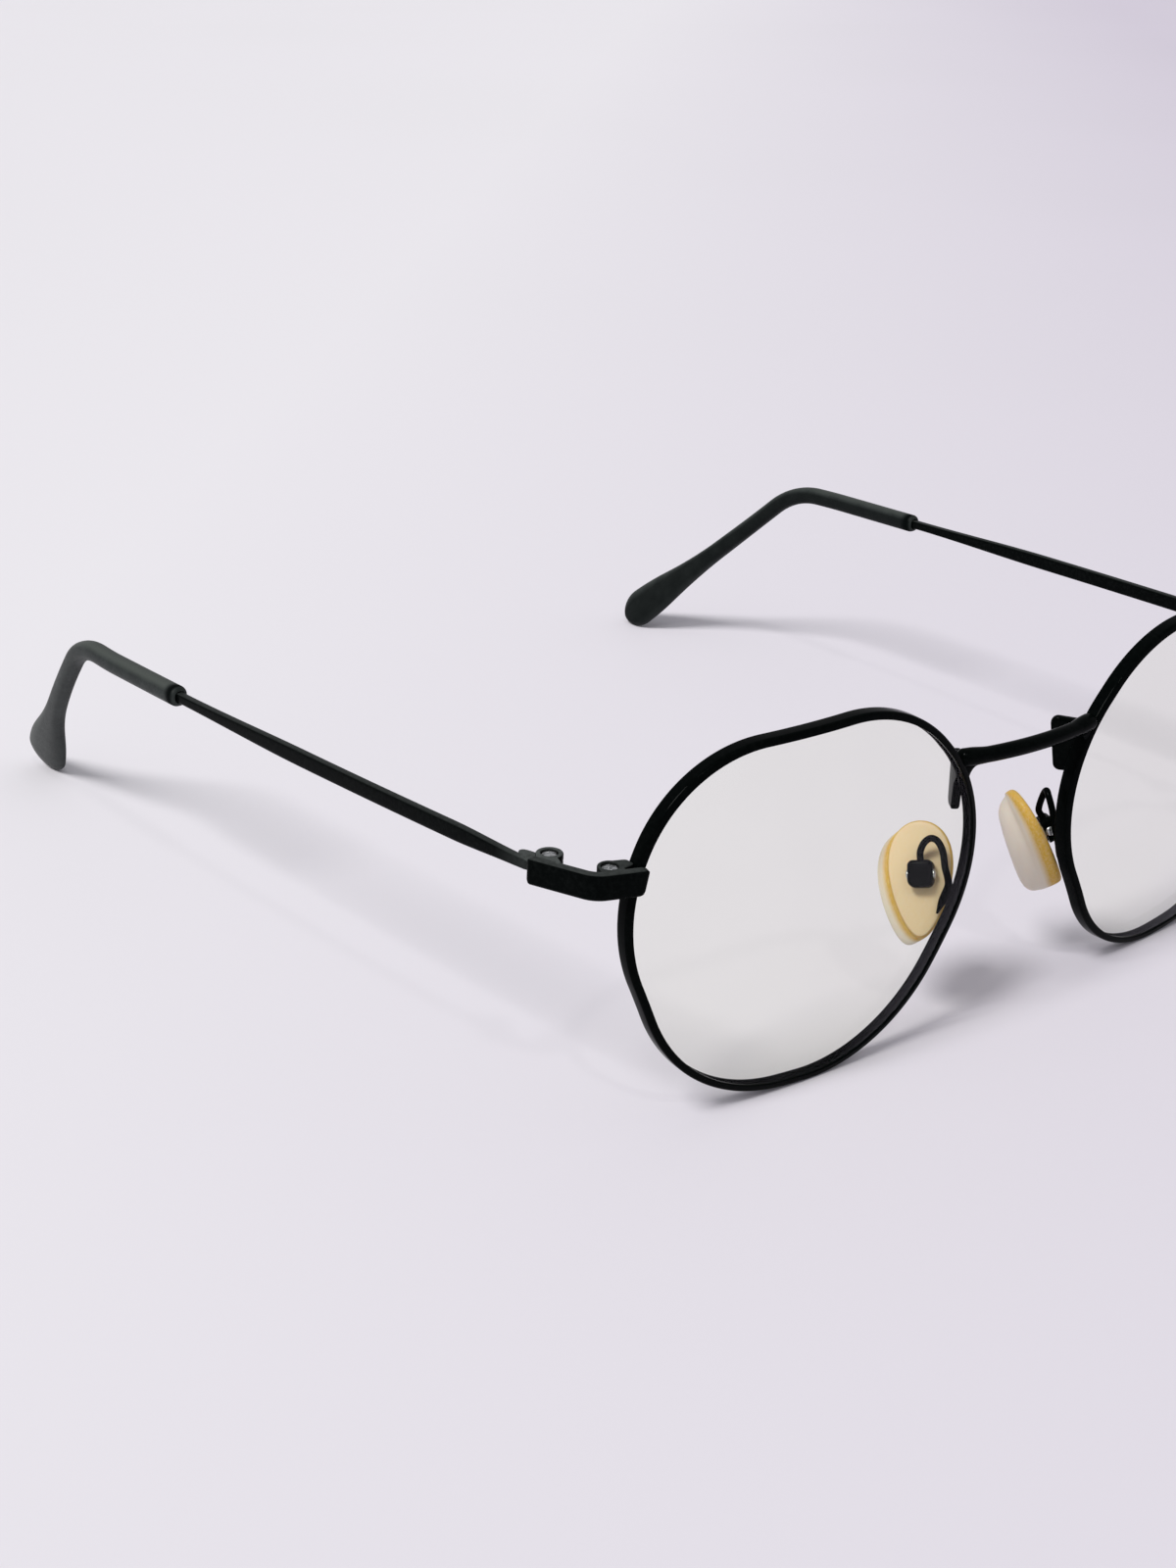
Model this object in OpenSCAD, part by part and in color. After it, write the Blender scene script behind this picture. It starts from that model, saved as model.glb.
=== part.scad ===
// Polygonal metal eyeglasses with folding temples and rocking nose pads.
// Millimetres. +X is the wearer's left, the lenses face -Y, the temples run back along +Y, +Z is up.
// The origin is the middle of the footprint, on the surface that the glasses stand on.
// Right and left are the wearer's: a right piece is the mirror image of its left twin in the plane x = 0.

/* [Front] */
// Distance between the two lens centres
centre_distance = 70; // [68:0.5:76]
// Height of the lens centres above the ground
lens_height = 24.1; // [24:0.1:30]
// Forward lean of the front, in degrees
front_lean = 1.8; // [1:0.1:6]
// Wrap of each lens towards the temple, in degrees
lens_wrap = 4.7; // [3:0.1:7]
// Radius of the sphere that the front of the rims follows
base_radius = 91; // [85:1:140]

/* [Rims and lenses] */
// Thickness of the eyewire in the plane of the lens
rim_width = 0.95; // [0.9:0.05:1.4]
// Depth of the eyewire from front to back
rim_depth = 1.75; // [1.6:0.05:2.2]
// Depth of the groove that holds the lens edge
groove_depth = 0.4; // [0.25:0.05:0.5]
// Width of that groove
groove_width = 0.8; // [0.6:0.05:1]
// Thickness of the lens
lens_thickness = 1.4; // [1.1:0.05:1.5]
// Clearance round the lens edge in its groove
lens_play = 0.04; // [0.02:0.01:0.08]
// Saw cut where the eyewire opens at the closing screw
split_gap = 0.14; // [0.1:0.02:0.2]

/* [Bridge] */
// Diameter of the bridge wire
bridge_d = 2.1; // [1.6:0.1:2.6]
// Radius of the bridge's curve
bridge_radius = 58; // [50:0.5:70]
// Height of the bridge over the lens centres
bridge_rise = 12.5; // [11.5:0.1:13.2]
// Length of the bridge lug, from its free edge to the rim
lug_reach = 4.9; // [4.6:0.1:5.2]
// Thickness of the bridge lug
lug_thickness = 0.95; // [0.8:0.05:1.2]
// Height of the bridge lug
lug_height = 7.2; // [6:0.1:8]

/* [Nose pads] */
// Half the length of the pad
pad_half_length = 7.3; // [6.5:0.1:8]
// Half the width of the pad
pad_half_width = 3.9; // [3.4:0.1:4.4]
// Thickness of the pad's plate, seen from the front
pad_plate = 1.8; // [1.4:0.1:2.2]
// Extra height of the crown that lies on the nose
pad_crown = 1.3; // [0.8:0.1:1.8]
// Diameter of the pad arm's wire
arm_d = 0.85; // [0.7:0.05:1]
// Extra height of the right pad arm's loop, as bent by hand
right_loop_lift = 0.35; // [0:0.05:1.5]
// Extra height of the left pad arm's loop, as bent by hand
left_loop_lift = 1.4; // [0:0.05:1.5]
// Outside width of the pad box, across the pad
box_width = 3.2; // [2.8:0.1:3.6]
// Outside height of the pad box, along the pad
box_height = 3.4; // [3:0.1:4]
// Depth of the pad box
box_depth = 1.7; // [1.5:0.1:2.2]
// Wall of the pad box
box_wall = 0.4; // [0.3:0.05:0.5]
// Gap between the pad's back and the box
box_gap = 0.65; // [0.55:0.05:0.9]
// Diameter of the pad screw
pad_screw_d = 0.8; // [0.6:0.05:1]

/* [Endpieces] */
// Height of the endpiece plate
endpiece_height = 3.25; // [3.2:0.05:3.6]
// Thickness of the endpiece plate
endpiece_thickness = 1.1; // [0.9:0.05:1.3]
// Outer radius of the endpiece's bend
endpiece_bend = 2.6; // [2:0.1:3.2]
// Height of the endpiece's top edge over the lens centres
endpiece_rise = 10.65; // [10.2:0.05:10.9]
// Diameter of the closing barrel beside the rim
closing_barrel_d = 2.8; // [2.6:0.1:3.2]
// Diameter of the closing screw's shank
closing_screw_d = 1.2; // [1:0.05:1.4]

/* [Hinges] */
// Outside diameter of the hinge knuckles
knuckle_d = 3.1; // [2.8:0.1:3.3]
// Height of the temple's knuckle
knuckle_height = 1.15; // [1:0.05:1.3]
// Height of each ear on the front
ear_height = 0.92; // [0.8:0.02:1]
// Diameter of the hinge screw's shank
hinge_screw_d = 1.3; // [1.1:0.05:1.5]
// Diameter of the screw heads
screw_head_d = 2; // [1.8:0.05:2.2]
// Running clearance round the hinge screw and over the knuckle
hinge_play = 0.05; // [0.03:0.01:0.08]

/* [Temples] */
// Length of the temple along its curve, from the hinge
temple_length = 146.5; // [140:0.5:156]
// Height of the flat part of the temple
temple_height = 2.15; // [1.9:0.05:2.5]
// Thickness of the temple
temple_thickness = 1.1; // [0.9:0.05:1.3]
// Height of the slim neck behind the hinge
neck_height = 1.6; // [1.4:0.05:1.8]
// Outward splay of the temple, in degrees
temple_splay = 1.6; // [0.5:0.1:3]
// Fall of the temple towards its tip, in degrees
temple_fall = 1.35; // [0.5:0.05:2]
// Length from the hinge to the mouth of the tip sleeve
sleeve_start = 74.6; // [70:0.1:80]
// Length from the hinge to the start of the bend over the ear
bend_start = 96.8; // [90:0.1:105]
// Radius of the bend over the ear
bend_radius = 14.6; // [12:0.1:20]
// Angle of the bend over the ear, in degrees
bend_angle = 41; // [36:0.5:42]
// How far the tip curves in towards the head
tip_inward = 10.9; // [8:0.1:12]
// Diameter of the core wire inside the tip
core_d = 1.2; // [1.1:0.05:1.5]
// Height of the tip sleeve
sleeve_height = 2.75; // [2.4:0.05:3.2]
// Width of the paddle at the end of the tip
paddle_width = 7.5; // [6:0.1:8]
// Thickness of the paddle
paddle_thickness = 2.5; // [2:0.1:3]
// Turn of the paddle about the tip, its back edge outwards, in degrees
paddle_twist = 34; // [0:1:45]

/* [Hidden] */
$fn = 48;
// Distance from the origin forward to the plane through the lens centres
front_offset = 73.63;
eps = 0.01;

// Lens outline: corners of the hexagon with their radii, seen from the front, temple side first
corner = [[19.1, 21.15], [-12.85, 22], [-29.95, 4.2], [-13.95, -24.1], [16.1, -22], [26.55, 3.15]];
corner_radius = [16.9, 20.5, 19.3, 19.5, 22.7, 19.6];
arc_steps = 11;
prism_reach = 24;

// Bead of solder at each end of the bridge wire
bridge_bead = bridge_d + 0.3;
// Half of the bridge's straight span and how far its middle lies behind the lens plane
bridge_half_span = 12.3;
bridge_set = 1.5;
// Slant of the bridge, lower on the wearer's left, in degrees
bridge_tilt = 1.8;
// Free edge of the bridge lug in the lens frame, and the heading of the lug from there to the rim
lug_edge = [-25.7, 8.6];
lug_heading = -59;
lug_corner = 0.9;
// How much nearer to the rim the lug's free edge is at its foot
lug_lean = 1.2;

// Endpiece plan, in the leaning frame of the front: rim end, bend corner and rear end of the outer face,
// measured from the lens centre
endpiece_a = [24, 4.3];
endpiece_b = [29.8, 6.3];
endpiece_c = [33.14, 14.12];
closing_axis = [26.7, 7.7];
closing_split = endpiece_rise - endpiece_height / 2;

// Hinge axis, level with the ground, measured from the lens centre
hinge_axis = [30.02, 13.67];
hinge_rise = 9.46;
knuckle_gap = knuckle_height + 2 * hinge_play;
hinge_stack = knuckle_gap + 2 * ear_height;

// Start of the temple's centre line beside the hinge axis
temple_side = 1.41;
leaf_front = 0.55;
leaf_back = 4.2;
bar_start = 2.1;
temple_lead = 2.13;
temple_bow = 0.86;
inward_power = 1.57;
tip_drift = 1.2;

// Pad frame: centre of the pad's back face from the lens plane's middle, and its three turns
pad_centre = [11.1, 7.65, -5.23];
pad_turn = [-13.8, -30.4, -27.6];
pad_egg = 0.3;
crown_shift = [-2.1, -1.1];
crown_tilt = 17;
insert_width = box_width - 2 * box_wall - 0.3;
// Middle of the pad arm's foot, outwards from the lens outline
arm_foot_grow = -0.1;
insert_height = 1.5;
box_centre = [-0.4, 0.4];

// Frames of reference

// Wearer's left as drawn, wearer's right as its mirror image
module on_side(side) {
    if (side == "right") mirror([1, 0, 0]) children();
    else children();
}

// Leaning frame of the whole front, with its origin midway between the lens centres
module in_front() {
    translate([0, -front_offset, lens_height]) rotate([front_lean, 0, 0]) children();
}

// Frame of one lens: X to the temple, Y along the lens axis to the back, Z up
module in_lens(side) {
    on_side(side) in_front() translate([centre_distance / 2, 0, 0]) rotate([0, 0, lens_wrap]) children();
}

// Frame of the endpiece: as the front's, but measured from the lens centre
module in_endpiece(side) {
    on_side(side) in_front() translate([centre_distance / 2, 0, 0]) children();
}

// Frame of the hinge: upright, with its origin on the hinge axis halfway up the knuckle
module in_hinge(side) {
    on_side(side)
        translate([centre_distance / 2 + hinge_axis[0], hinge_axis[1] - front_offset, lens_height + hinge_rise])
            children();
}

// Frame of a nose pad: X out to the rim, Y to the back, Z up along the pad, origin on the pad's back face
module in_pad(side) {
    on_side(side) in_front() translate(pad_centre) rotate(pad_turn) children();
}

// Lens outline

function polar(a) = [cos(a), sin(a)];
function heading(a, b) = atan2(b[1] - a[1], b[0] - a[0]);
function wrap_up(a, from) = a < from ? a + 360 : a;

// Points of the outline, moved outwards by grow, along the same rounded corners
function outline(grow) = [
    for (i = [0:5])
        let (
            before = corner[(i + 5) % 6],
            here = corner[i],
            after = corner[(i + 1) % 6],
            a0 = heading(before, here) - 90,
            a1 = wrap_up(heading(here, after) - 90, a0),
            middle = here - polar((a0 + a1) / 2) * corner_radius[i] / cos((a1 - a0) / 2)
        )
        for (k = [0:arc_steps - 1])
            middle + polar(a0 + (a1 - a0) * k / (arc_steps - 1)) * (corner_radius[i] + grow)
];

// Straight prism through the lens along its axis
module lens_prism(grow) {
    rotate([90, 0, 0]) linear_extrude(height = prism_reach, center = true) polygon(outline(grow));
}

// Layer between two depths behind the front of the rim, curved as the lens is
module lens_layer(front, back) {
    translate([0, base_radius, 0]) difference() {
        sphere(r = base_radius - front, $fn = 180);
        sphere(r = base_radius - back, $fn = 180);
    }
}

// Curved band with the lens outline, between two growths and two depths
module lens_band(inner, outer, front, back) {
    difference() {
        intersection() {
            lens_prism(outer);
            lens_layer(front, back);
        }
        lens_prism(inner);
    }
}

// All that the rim and its lens fill
module rim_envelope() {
    intersection() {
        lens_prism(rim_width);
        lens_layer(0, rim_depth);
    }
}

// Rims and lenses

module rim(side) {
    color("#17191b") in_lens(side) difference() {
        lens_band(0, rim_width, 0, rim_depth);
        intersection() {
            lens_prism(groove_depth);
            lens_layer((rim_depth - groove_width) / 2, (rim_depth + groove_width) / 2);
        }
        translate([0, -prism_reach / 2, closing_split - split_gap / 2])
            cube([prism_reach * 2, prism_reach, split_gap]);
    }
}

module lens(side) {
    ridge = groove_width - 2 * lens_play;
    color("#e4e6ea", 0.35) in_lens(side) union() {
        intersection() {
            lens_prism(-lens_play);
            lens_layer((rim_depth - lens_thickness) / 2, (rim_depth + lens_thickness) / 2);
        }
        intersection() {
            lens_prism(groove_depth - lens_play);
            lens_layer((rim_depth - ridge) / 2, (rim_depth + ridge) / 2);
        }
    }
}

// Bridge

// Middle and radius of the round corner of the outline beside the nose, where the bridge is soldered
nose_corner = 2;
nose_heading = heading(corner[nose_corner - 1], corner[nose_corner]) - 90;
nose_turn = heading(corner[nose_corner], corner[nose_corner + 1]) + 360 - 90 - nose_heading;
nose_middle = corner[nose_corner]
    - polar(nose_heading + nose_turn / 2) * corner_radius[nose_corner] / cos(nose_turn / 2);

// Round column that fills the lens outline's corner beside the nose
module nose_column(grow) {
    translate([nose_middle[0], 0, nose_middle[1]]) rotate([90, 0, 0])
        cylinder(r = corner_radius[nose_corner] + grow, h = prism_reach, center = true, $fn = 180);
}

// Bent wire of the bridge with its round ends, before the rims cut it
module bridge_wire() {
    reach = asin(bridge_half_span / bridge_radius);
    in_front() translate([0, bridge_radius + bridge_set, bridge_rise]) rotate([0, bridge_tilt, 0]) {
        rotate([0, 0, -90 - reach]) rotate_extrude(angle = 2 * reach) translate([bridge_radius, 0])
            circle(d = bridge_d);
        for (end = [-1, 1]) rotate([0, 0, -90 + end * reach]) translate([bridge_radius, 0, 0])
            sphere(d = bridge_bead);
    }
}

module bridge() {
    color("#17191b") difference() {
        bridge_wire();
        for (side = ["right", "left"]) in_lens(side) nose_column(rim_width);
    }
}

// Upright plate with round corners at its free edge, which runs from there to the rim
module lug_plate() {
    rotate([0, 0, lug_heading]) rotate([90, 0, 0]) linear_extrude(height = lug_thickness, center = true)
        hull() {
            for (end = [-1, 1])
                translate([lug_corner + lug_lean * (1 - end) / 2, end * (lug_height / 2 - lug_corner)])
                    circle(r = lug_corner);
            translate([lug_reach - 1, -lug_height / 2]) square([1, lug_height]);
        }
}

// Lug soldered to the rim's outer wall and back, behind the end of the bridge
module bridge_lug(side) {
    top = bridge_rise + 0.1;
    color("#1d1f21") difference() {
        in_lens(side) difference() {
            translate([lug_edge[0], lug_edge[1], top - lug_height / 2]) lug_plate();
            rim_envelope();
            lens_prism(0);
        }
        bridge_wire();
    }
}

// Nose pads

// Egg-shaped outline of a pad, narrower below, in the plane of its back
function egg(half_width, half_length, n) = [
    for (k = [0:n - 1])
        let (a = 360 * k / n)
        [sin(a) * half_width * (1 + pad_egg * cos(a)), cos(a) * half_length]
];

// Thin slice with the pad's outline, its thickness towards the nose
module pad_slice(half_width, half_length, thickness) {
    rotate([90, 0, 90]) translate([0, 0, -thickness]) linear_extrude(height = thickness)
        polygon(egg(half_width, half_length, 32));
}

module nose_pad(side) {
    color("#d9c08a", 0.85) in_pad(side) difference() {
        hull() {
            pad_slice(pad_half_width - 0.3, pad_half_length - 0.3, 0.05);
            translate([-0.4, 0, 0]) pad_slice(pad_half_width, pad_half_length, pad_plate - 0.8);
            translate([-pad_plate, -crown_shift[0], crown_shift[1]]) rotate([0, 0, -crown_tilt])
                pad_slice(pad_half_width - 0.4, pad_half_length - 0.3, 0.4);
            translate([-pad_plate - pad_crown + 0.4, -crown_shift[0], crown_shift[1]])
                rotate([0, 0, -crown_tilt]) pad_slice(pad_half_width - 1.6, pad_half_length - 1.8, 0.4);
        }
        translate([-1, box_centre[0], box_centre[1]]) cube([2, insert_width, insert_height], center = true);
    }
}

// Hard core moulded into the pad, with a tongue that enters the box
module pad_core(side) {
    tongue = box_gap + box_depth - box_wall - 0.3;
    color("#e9dcc0") in_pad(side) translate([0, box_centre[0], box_centre[1]]) difference() {
        translate([-1, -insert_width / 2, -insert_height / 2]) cube([1 + tongue, insert_width, insert_height]);
        translate([box_gap + box_depth / 2 - 0.2, 0, 0]) rotate([90, 0, 0])
            cylinder(d = pad_screw_d + 2 * hinge_play, h = box_width, center = true);
    }
}

// Box on the end of the pad arm, open towards the pad
module pad_box(side) {
    color("#2b2d2f") in_pad(side) translate([box_gap, box_centre[0], box_centre[1]]) difference() {
        translate([0, -box_width / 2, -box_height / 2]) cube([box_depth, box_width, box_height]);
        translate([-eps, -box_width / 2 + box_wall, -box_height / 2 + box_wall])
            cube([box_depth - box_wall + eps, box_width - 2 * box_wall, box_height - 2 * box_wall]);
        translate([box_depth / 2 - 0.2, 0, 0]) rotate([90, 0, 0])
            cylinder(d = pad_screw_d, h = box_width + 1, center = true);
    }
}

module pad_screw(side) {
    color("#8d8f91") in_pad(side) translate([box_gap + box_depth / 2 - 0.2, box_centre[0], box_centre[1]])
        rotate([90, 0, 0]) cylinder(d = pad_screw_d, h = box_width, center = true);
}

// Smooth curve through points

function spline_at(p, i, t) =
    let (
        a = p[max(i - 1, 0)],
        b = p[i],
        c = p[i + 1],
        d = p[min(i + 2, len(p) - 1)]
    )
    0.5 * (2 * b + (c - a) * t + (2 * a - 5 * b + 4 * c - d) * t * t + (3 * b - a - 3 * c + d) * t * t * t);

function spline(p, steps) = concat(
    [for (i = [0:len(p) - 2]) for (k = [0:steps - 1]) spline_at(p, i, k / steps)],
    [p[len(p) - 1]]
);

function unit(v) = v / norm(v);
function direction(p, i) = unit(p[min(i + 1, len(p) - 1)] - p[max(i - 1, 0)]);

// Solid tube through rings of equal count
module skin(rings) {
    n = len(rings[0]);
    last = len(rings) - 1;
    polyhedron(
        points = [for (r = rings) each r],
        faces = concat(
            [[for (k = [n - 1:-1:0]) k]],
            [for (i = [0:last - 1]) for (k = [0:n - 1])
                [i * n + k, (i + 1) * n + (k + 1) % n, (i + 1) * n + k]],
            [for (i = [0:last - 1]) for (k = [0:n - 1])
                [i * n + k, i * n + (k + 1) % n, (i + 1) * n + (k + 1) % n]],
            [[for (k = [0:n - 1]) last * n + k]]
        )
    );
}

// Round wire along a curve whose plane is roughly square to the given side vector
module wire(points, d, side_vector, sides) {
    skin([
        for (i = [0:len(points) - 1])
            let (
                t = direction(points, i),
                u = unit(cross(t, side_vector)),
                w = cross(u, t)
            )
            [for (k = [0:sides - 1]) points[i] + (u * cos(360 * k / sides) + w * sin(360 * k / sides)) * d / 2]
    ]);
}

// Middle of the arm's wire where it lies on the back of the rim beside the nose, at a height
function arm_seat(height) =
    let (
        radius = corner_radius[nose_corner] + arm_foot_grow,
        x = nose_middle[0] - sqrt(pow(radius, 2) - pow(height - nose_middle[1], 2)),
        back = base_radius - sqrt(pow(base_radius - rim_depth, 2) - x * x - height * height),
        y = back + arm_d / 2 + 0.05
    )
    [
        centre_distance / 2 + x * cos(lens_wrap) - y * sin(lens_wrap),
        x * sin(lens_wrap) + y * cos(lens_wrap),
        height
    ];

// Point of the pad's frame in the frame of the front
function turned_z(p, a) = [p[0] * cos(a) - p[1] * sin(a), p[0] * sin(a) + p[1] * cos(a), p[2]];
function turned_y(p, a) = [p[0] * cos(a) + p[2] * sin(a), p[1], p[2] * cos(a) - p[0] * sin(a)];
function turned_x(p, a) = [p[0], p[1] * cos(a) - p[2] * sin(a), p[1] * sin(a) + p[2] * cos(a)];
function from_pad(p) = pad_centre + turned_z(turned_y(turned_x(p, pad_turn[0]), pad_turn[1]), pad_turn[2]);

// Point over the middle of the box's top, at a height above it
function over_box(height) =
    from_pad([box_gap + box_depth / 2, box_centre[0], box_centre[1] + box_height / 2 + height]);

// Route of the pad arm: up the back of the rim, over in a loop of the given extra height, onto the box
function arm_route(lift) = [
    arm_seat(-7.1), arm_seat(-5.8), arm_seat(-4.5), [10.2, 4.6, -2.7],
    [10.1, 5.3, -1.05 + 0.4 * lift], [10.2, 6.2, -0.1 + 0.8 * lift], [10.6, 7, 0.05 + lift],
    [10.9, 7.7, -0.6 + 0.7 * lift], over_box(1.08), over_box(0.02)
];

module pad_arm(side) {
    lift = side == "right" ? right_loop_lift : left_loop_lift;
    color("#1d1f21") on_side(side) in_front() wire(spline(arm_route(lift), 4), arm_d, [1, 0, 0], 12);
}

// Endpieces

function left_of(a) = polar(a + 90);

// Plan of a plate that bends once, from a by b to c, with its thickness on the left of its outer face
function bent_plate(a, b, c, t, r) =
    let (
        h1 = heading(a, b),
        h2 = heading(b, c),
        turn = h2 - h1,
        middle = b - polar(h1) * r * tan(turn / 2) + left_of(h1) * r,
        n = 8
    )
    concat(
        [a],
        [for (k = [0:n]) middle + polar(h1 - 90 + turn * k / n) * r],
        [c, c + left_of(h2) * t],
        [for (k = [n:-1:0]) middle + polar(h1 - 90 + turn * k / n) * (r - t)],
        [a + left_of(h1) * t]
    );

module endpiece_plate() {
    translate([0, 0, endpiece_rise - endpiece_height]) linear_extrude(height = endpiece_height)
        polygon(bent_plate(endpiece_a, endpiece_b, endpiece_c, endpiece_thickness, endpiece_bend));
}

// Half of the closing barrel with its foot towards the rim and the plate
module closing_half(bottom, top, to_plate) {
    r = closing_barrel_d / 2;
    translate([closing_axis[0], closing_axis[1], bottom]) {
        cylinder(r = r, h = top - bottom);
        linear_extrude(height = top - bottom)
            polygon([[0, r], [-r - 1.2, 0.2], [-r - 1.2, -0.8 * r], [0, -r]]);
        rotate([0, 0, heading(endpiece_a, endpiece_b)]) translate([-r, -to_plate, 0])
            cube([2 * r, to_plate, top - bottom]);
    }
}

module closing_hole(d) {
    translate([closing_axis[0], closing_axis[1], closing_split - 5]) cylinder(d = d, h = 10);
}

module endpiece(side) {
    color("#1b1c1e") difference() {
        in_endpiece(side) difference() {
            union() {
                endpiece_plate();
                closing_half(closing_split + split_gap / 2, endpiece_rise - 0.1, 1.6);
            }
            closing_hole(closing_screw_d);
            translate([closing_axis[0], closing_axis[1], endpiece_rise - 0.6])
                cylinder(d = screw_head_d, h = 2);
        }
        in_lens(side) {
            rim_envelope();
            translate([0, 0, closing_split]) intersection() {
                translate([0, 0, -closing_split]) lens_prism(rim_width);
                translate([0, 4, 0]) cube([80, 20, 8], center = true);
                translate([0, 0, -closing_split]) lens_layer(0, 8);
            }
        }
    }
}

module closing_block(side) {
    color("#1b1c1e") difference() {
        in_endpiece(side) difference() {
            closing_half(endpiece_rise - endpiece_height + 0.2, closing_split - split_gap / 2, 0.5);
            endpiece_plate();
            closing_hole(closing_screw_d);
        }
        in_lens(side) lens_prism(rim_width);
    }
}

// Screw with a slotted head, hanging down from its head's top face
module slotted_screw(shank, head, head_height, length) {
    difference() {
        union() {
            translate([0, 0, -head_height]) cylinder(d = head, h = head_height);
            translate([0, 0, -length]) cylinder(d = shank, h = length - head_height / 2);
        }
        translate([0, 0, -0.1]) cube([head + 1, 0.3, 0.5], center = true);
    }
}

module rim_screw(side) {
    length = endpiece_height - 0.5;
    color("#8d8f91") in_endpiece(side) translate([closing_axis[0], closing_axis[1], endpiece_rise - 0.15])
        slotted_screw(closing_screw_d, screw_head_d, 0.45, length);
}

// Hinges

// Ear of the front leaf, with a web that runs forward along the plate
module hinge_ear(bottom) {
    r = knuckle_d / 2;
    translate([0, 0, bottom]) {
        cylinder(r = r, h = ear_height);
        linear_extrude(height = ear_height)
            polygon([[-0.17 * r, -0.98 * r], [0.2, -1.65], [0.4, -2.1], [0.5, -2.6], [0.55, -3.1],
                [4, -3.1], [4, 1], [r * 0.6, 1.2]]);
    }
}

module hinge_front(side) {
    color("#1b1c1e") difference() {
        in_hinge(side) difference() {
            union() {
                hinge_ear(knuckle_gap / 2);
                hinge_ear(-knuckle_gap / 2 - ear_height);
                translate([0.5, -2.9, -hinge_stack / 2]) cube([3.5, 1.1, hinge_stack]);
            }
            cylinder(d = hinge_screw_d, h = 10, center = true);
            translate([0, 0, hinge_stack / 2 - 0.5]) cylinder(d = screw_head_d, h = 2);
        }
        in_endpiece(side) outside_plate();
    }
}

// The plate together with all the room outside it
module outside_plate() {
    far = 40;
    h2 = heading(endpiece_b, endpiece_c);
    plan = bent_plate(endpiece_a, endpiece_b, endpiece_c, endpiece_thickness, endpiece_bend);
    inner = [for (i = [11:len(plan) - 1]) plan[i]];
    translate([0, 0, -10]) linear_extrude(height = 40)
        polygon(concat([endpiece_c + polar(h2) * far], [inner[0] + polar(h2) * far], inner,
            [[endpiece_a[0], -far], [endpiece_c[0] + far, -far]]));
}

module hinge_screw(side) {
    color("#8d8f91") in_hinge(side) translate([0, 0, hinge_stack / 2 - 0.05])
        slotted_screw(hinge_screw_d, screw_head_d, 0.45, hinge_stack - 0.1);
}

module hinge_temple(side) {
    r = knuckle_d / 2;
    x0 = temple_side - temple_thickness / 2;
    color("#1b1c1e") in_hinge(side) difference() {
        translate([0, 0, -knuckle_height / 2]) union() {
            cylinder(r = r, h = knuckle_height);
            linear_extrude(height = knuckle_height) polygon([
                [0, r], [-r * 0.2, r * 0.98], [x0 - 0.5, leaf_back], [x0, leaf_back], [x0, bar_start],
                [x0 + temple_thickness, bar_start], [x0 + temple_thickness, leaf_front], [r * 0.9, 0]
            ]);
        }
        cylinder(d = hinge_screw_d + 2 * hinge_play, h = 10, center = true);
    }
}

// Temples

tip_arc = bend_radius * bend_angle * PI / 180;

// Downward angle of the temple at a length along it
function fall_at(s) =
    temple_fall + bend_angle * min(max((s - bend_start) / tip_arc, 0), 1)
    + tip_drift * min(max((s - bend_start - tip_arc) / 40, 0), 2);

// Distance inwards from the straight line of the temple
function inward_at(s) =
    tip_inward * pow(max((s - bend_start + 5) / (temple_length - bend_start + 5), 0), inward_power)
    - temple_bow * sin(180 * min(max(s / bend_start, 0), 1));

// Backward and upward run of the centre line at each millimetre along it
temple_run = [
    for (k = 0, run = [0, 0]; k <= 170; run = run + polar(-fall_at(k + 0.5)), k = k + 1) run
];

function run_at(s) =
    let (k = floor(max(s, 0)))
    temple_run[k] + (s - k) * polar(-fall_at((s + k) / 2));

// Point on the temple's centre line, in the frame of the hinge
function temple_point(s) =
    let (
        run = run_at(s),
        inward = inward_at(s)
    )
    [
        temple_side + run[0] * sin(temple_splay) - inward * cos(temple_splay),
        -temple_lead + run[0] * cos(temple_splay) + inward * sin(temple_splay),
        run[1]
    ];

// Section of the temple at a length along it, turned about its centre line by twist; skew slants it
function temple_ring(s, height, thickness, sides, square, twist, skew) =
    let (
        here = temple_point(s),
        t = unit(temple_point(s + 0.2) - temple_point(s - 0.2)),
        level = unit(cross(t, [0, 0, 1])),
        rise = cross(level, t),
        out = level * cos(twist) - rise * sin(twist),
        up = rise * cos(twist) + level * sin(twist) + t * skew
    )
    [
        for (k = [0:sides - 1])
            let (
                a = 360 * (k + 0.5) / sides,
                c = cos(a),
                d = sin(a)
            )
            here + out * sign(c) * pow(abs(c), square) * thickness / 2
                + up * sign(d) * pow(abs(d), square) * height / 2
    ];

function blend(a, b, s, from, to) = a + (b - a) * min(max((s - from) / (to - from), 0), 1);

function bar_height(s) = s < 40
    ? blend(neck_height, temple_height, s, 4, 9)
    : blend(temple_height, core_d + 0.1, s, 50, sleeve_start - 0.5);

// Rings of the flat bar, from the hinge leaf to the mouth of the sleeve
function bar_rings() = [
    for (s = [bar_start + temple_lead, 6, 8, 10, 14, 20, 28, 36, 44, 50, 55, 60, 65, 70, sleeve_start])
        temple_ring(s, bar_height(s), blend(temple_thickness, core_d, s, 60, sleeve_start), 16, 0.35, 0, 0)
];

// Rings of the core wire, or of the bore that it fills, from the mouth to its end
function core_rings(d) = [
    for (k = [0:18])
        temple_ring(blend(sleeve_start, temple_length - 8, k, 0, 18), d, d, 16, 1, 0, 0)
];

module temple(side) {
    color("#202224") in_hinge(side) skin(concat(bar_rings(), core_rings(core_d)));
}

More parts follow.
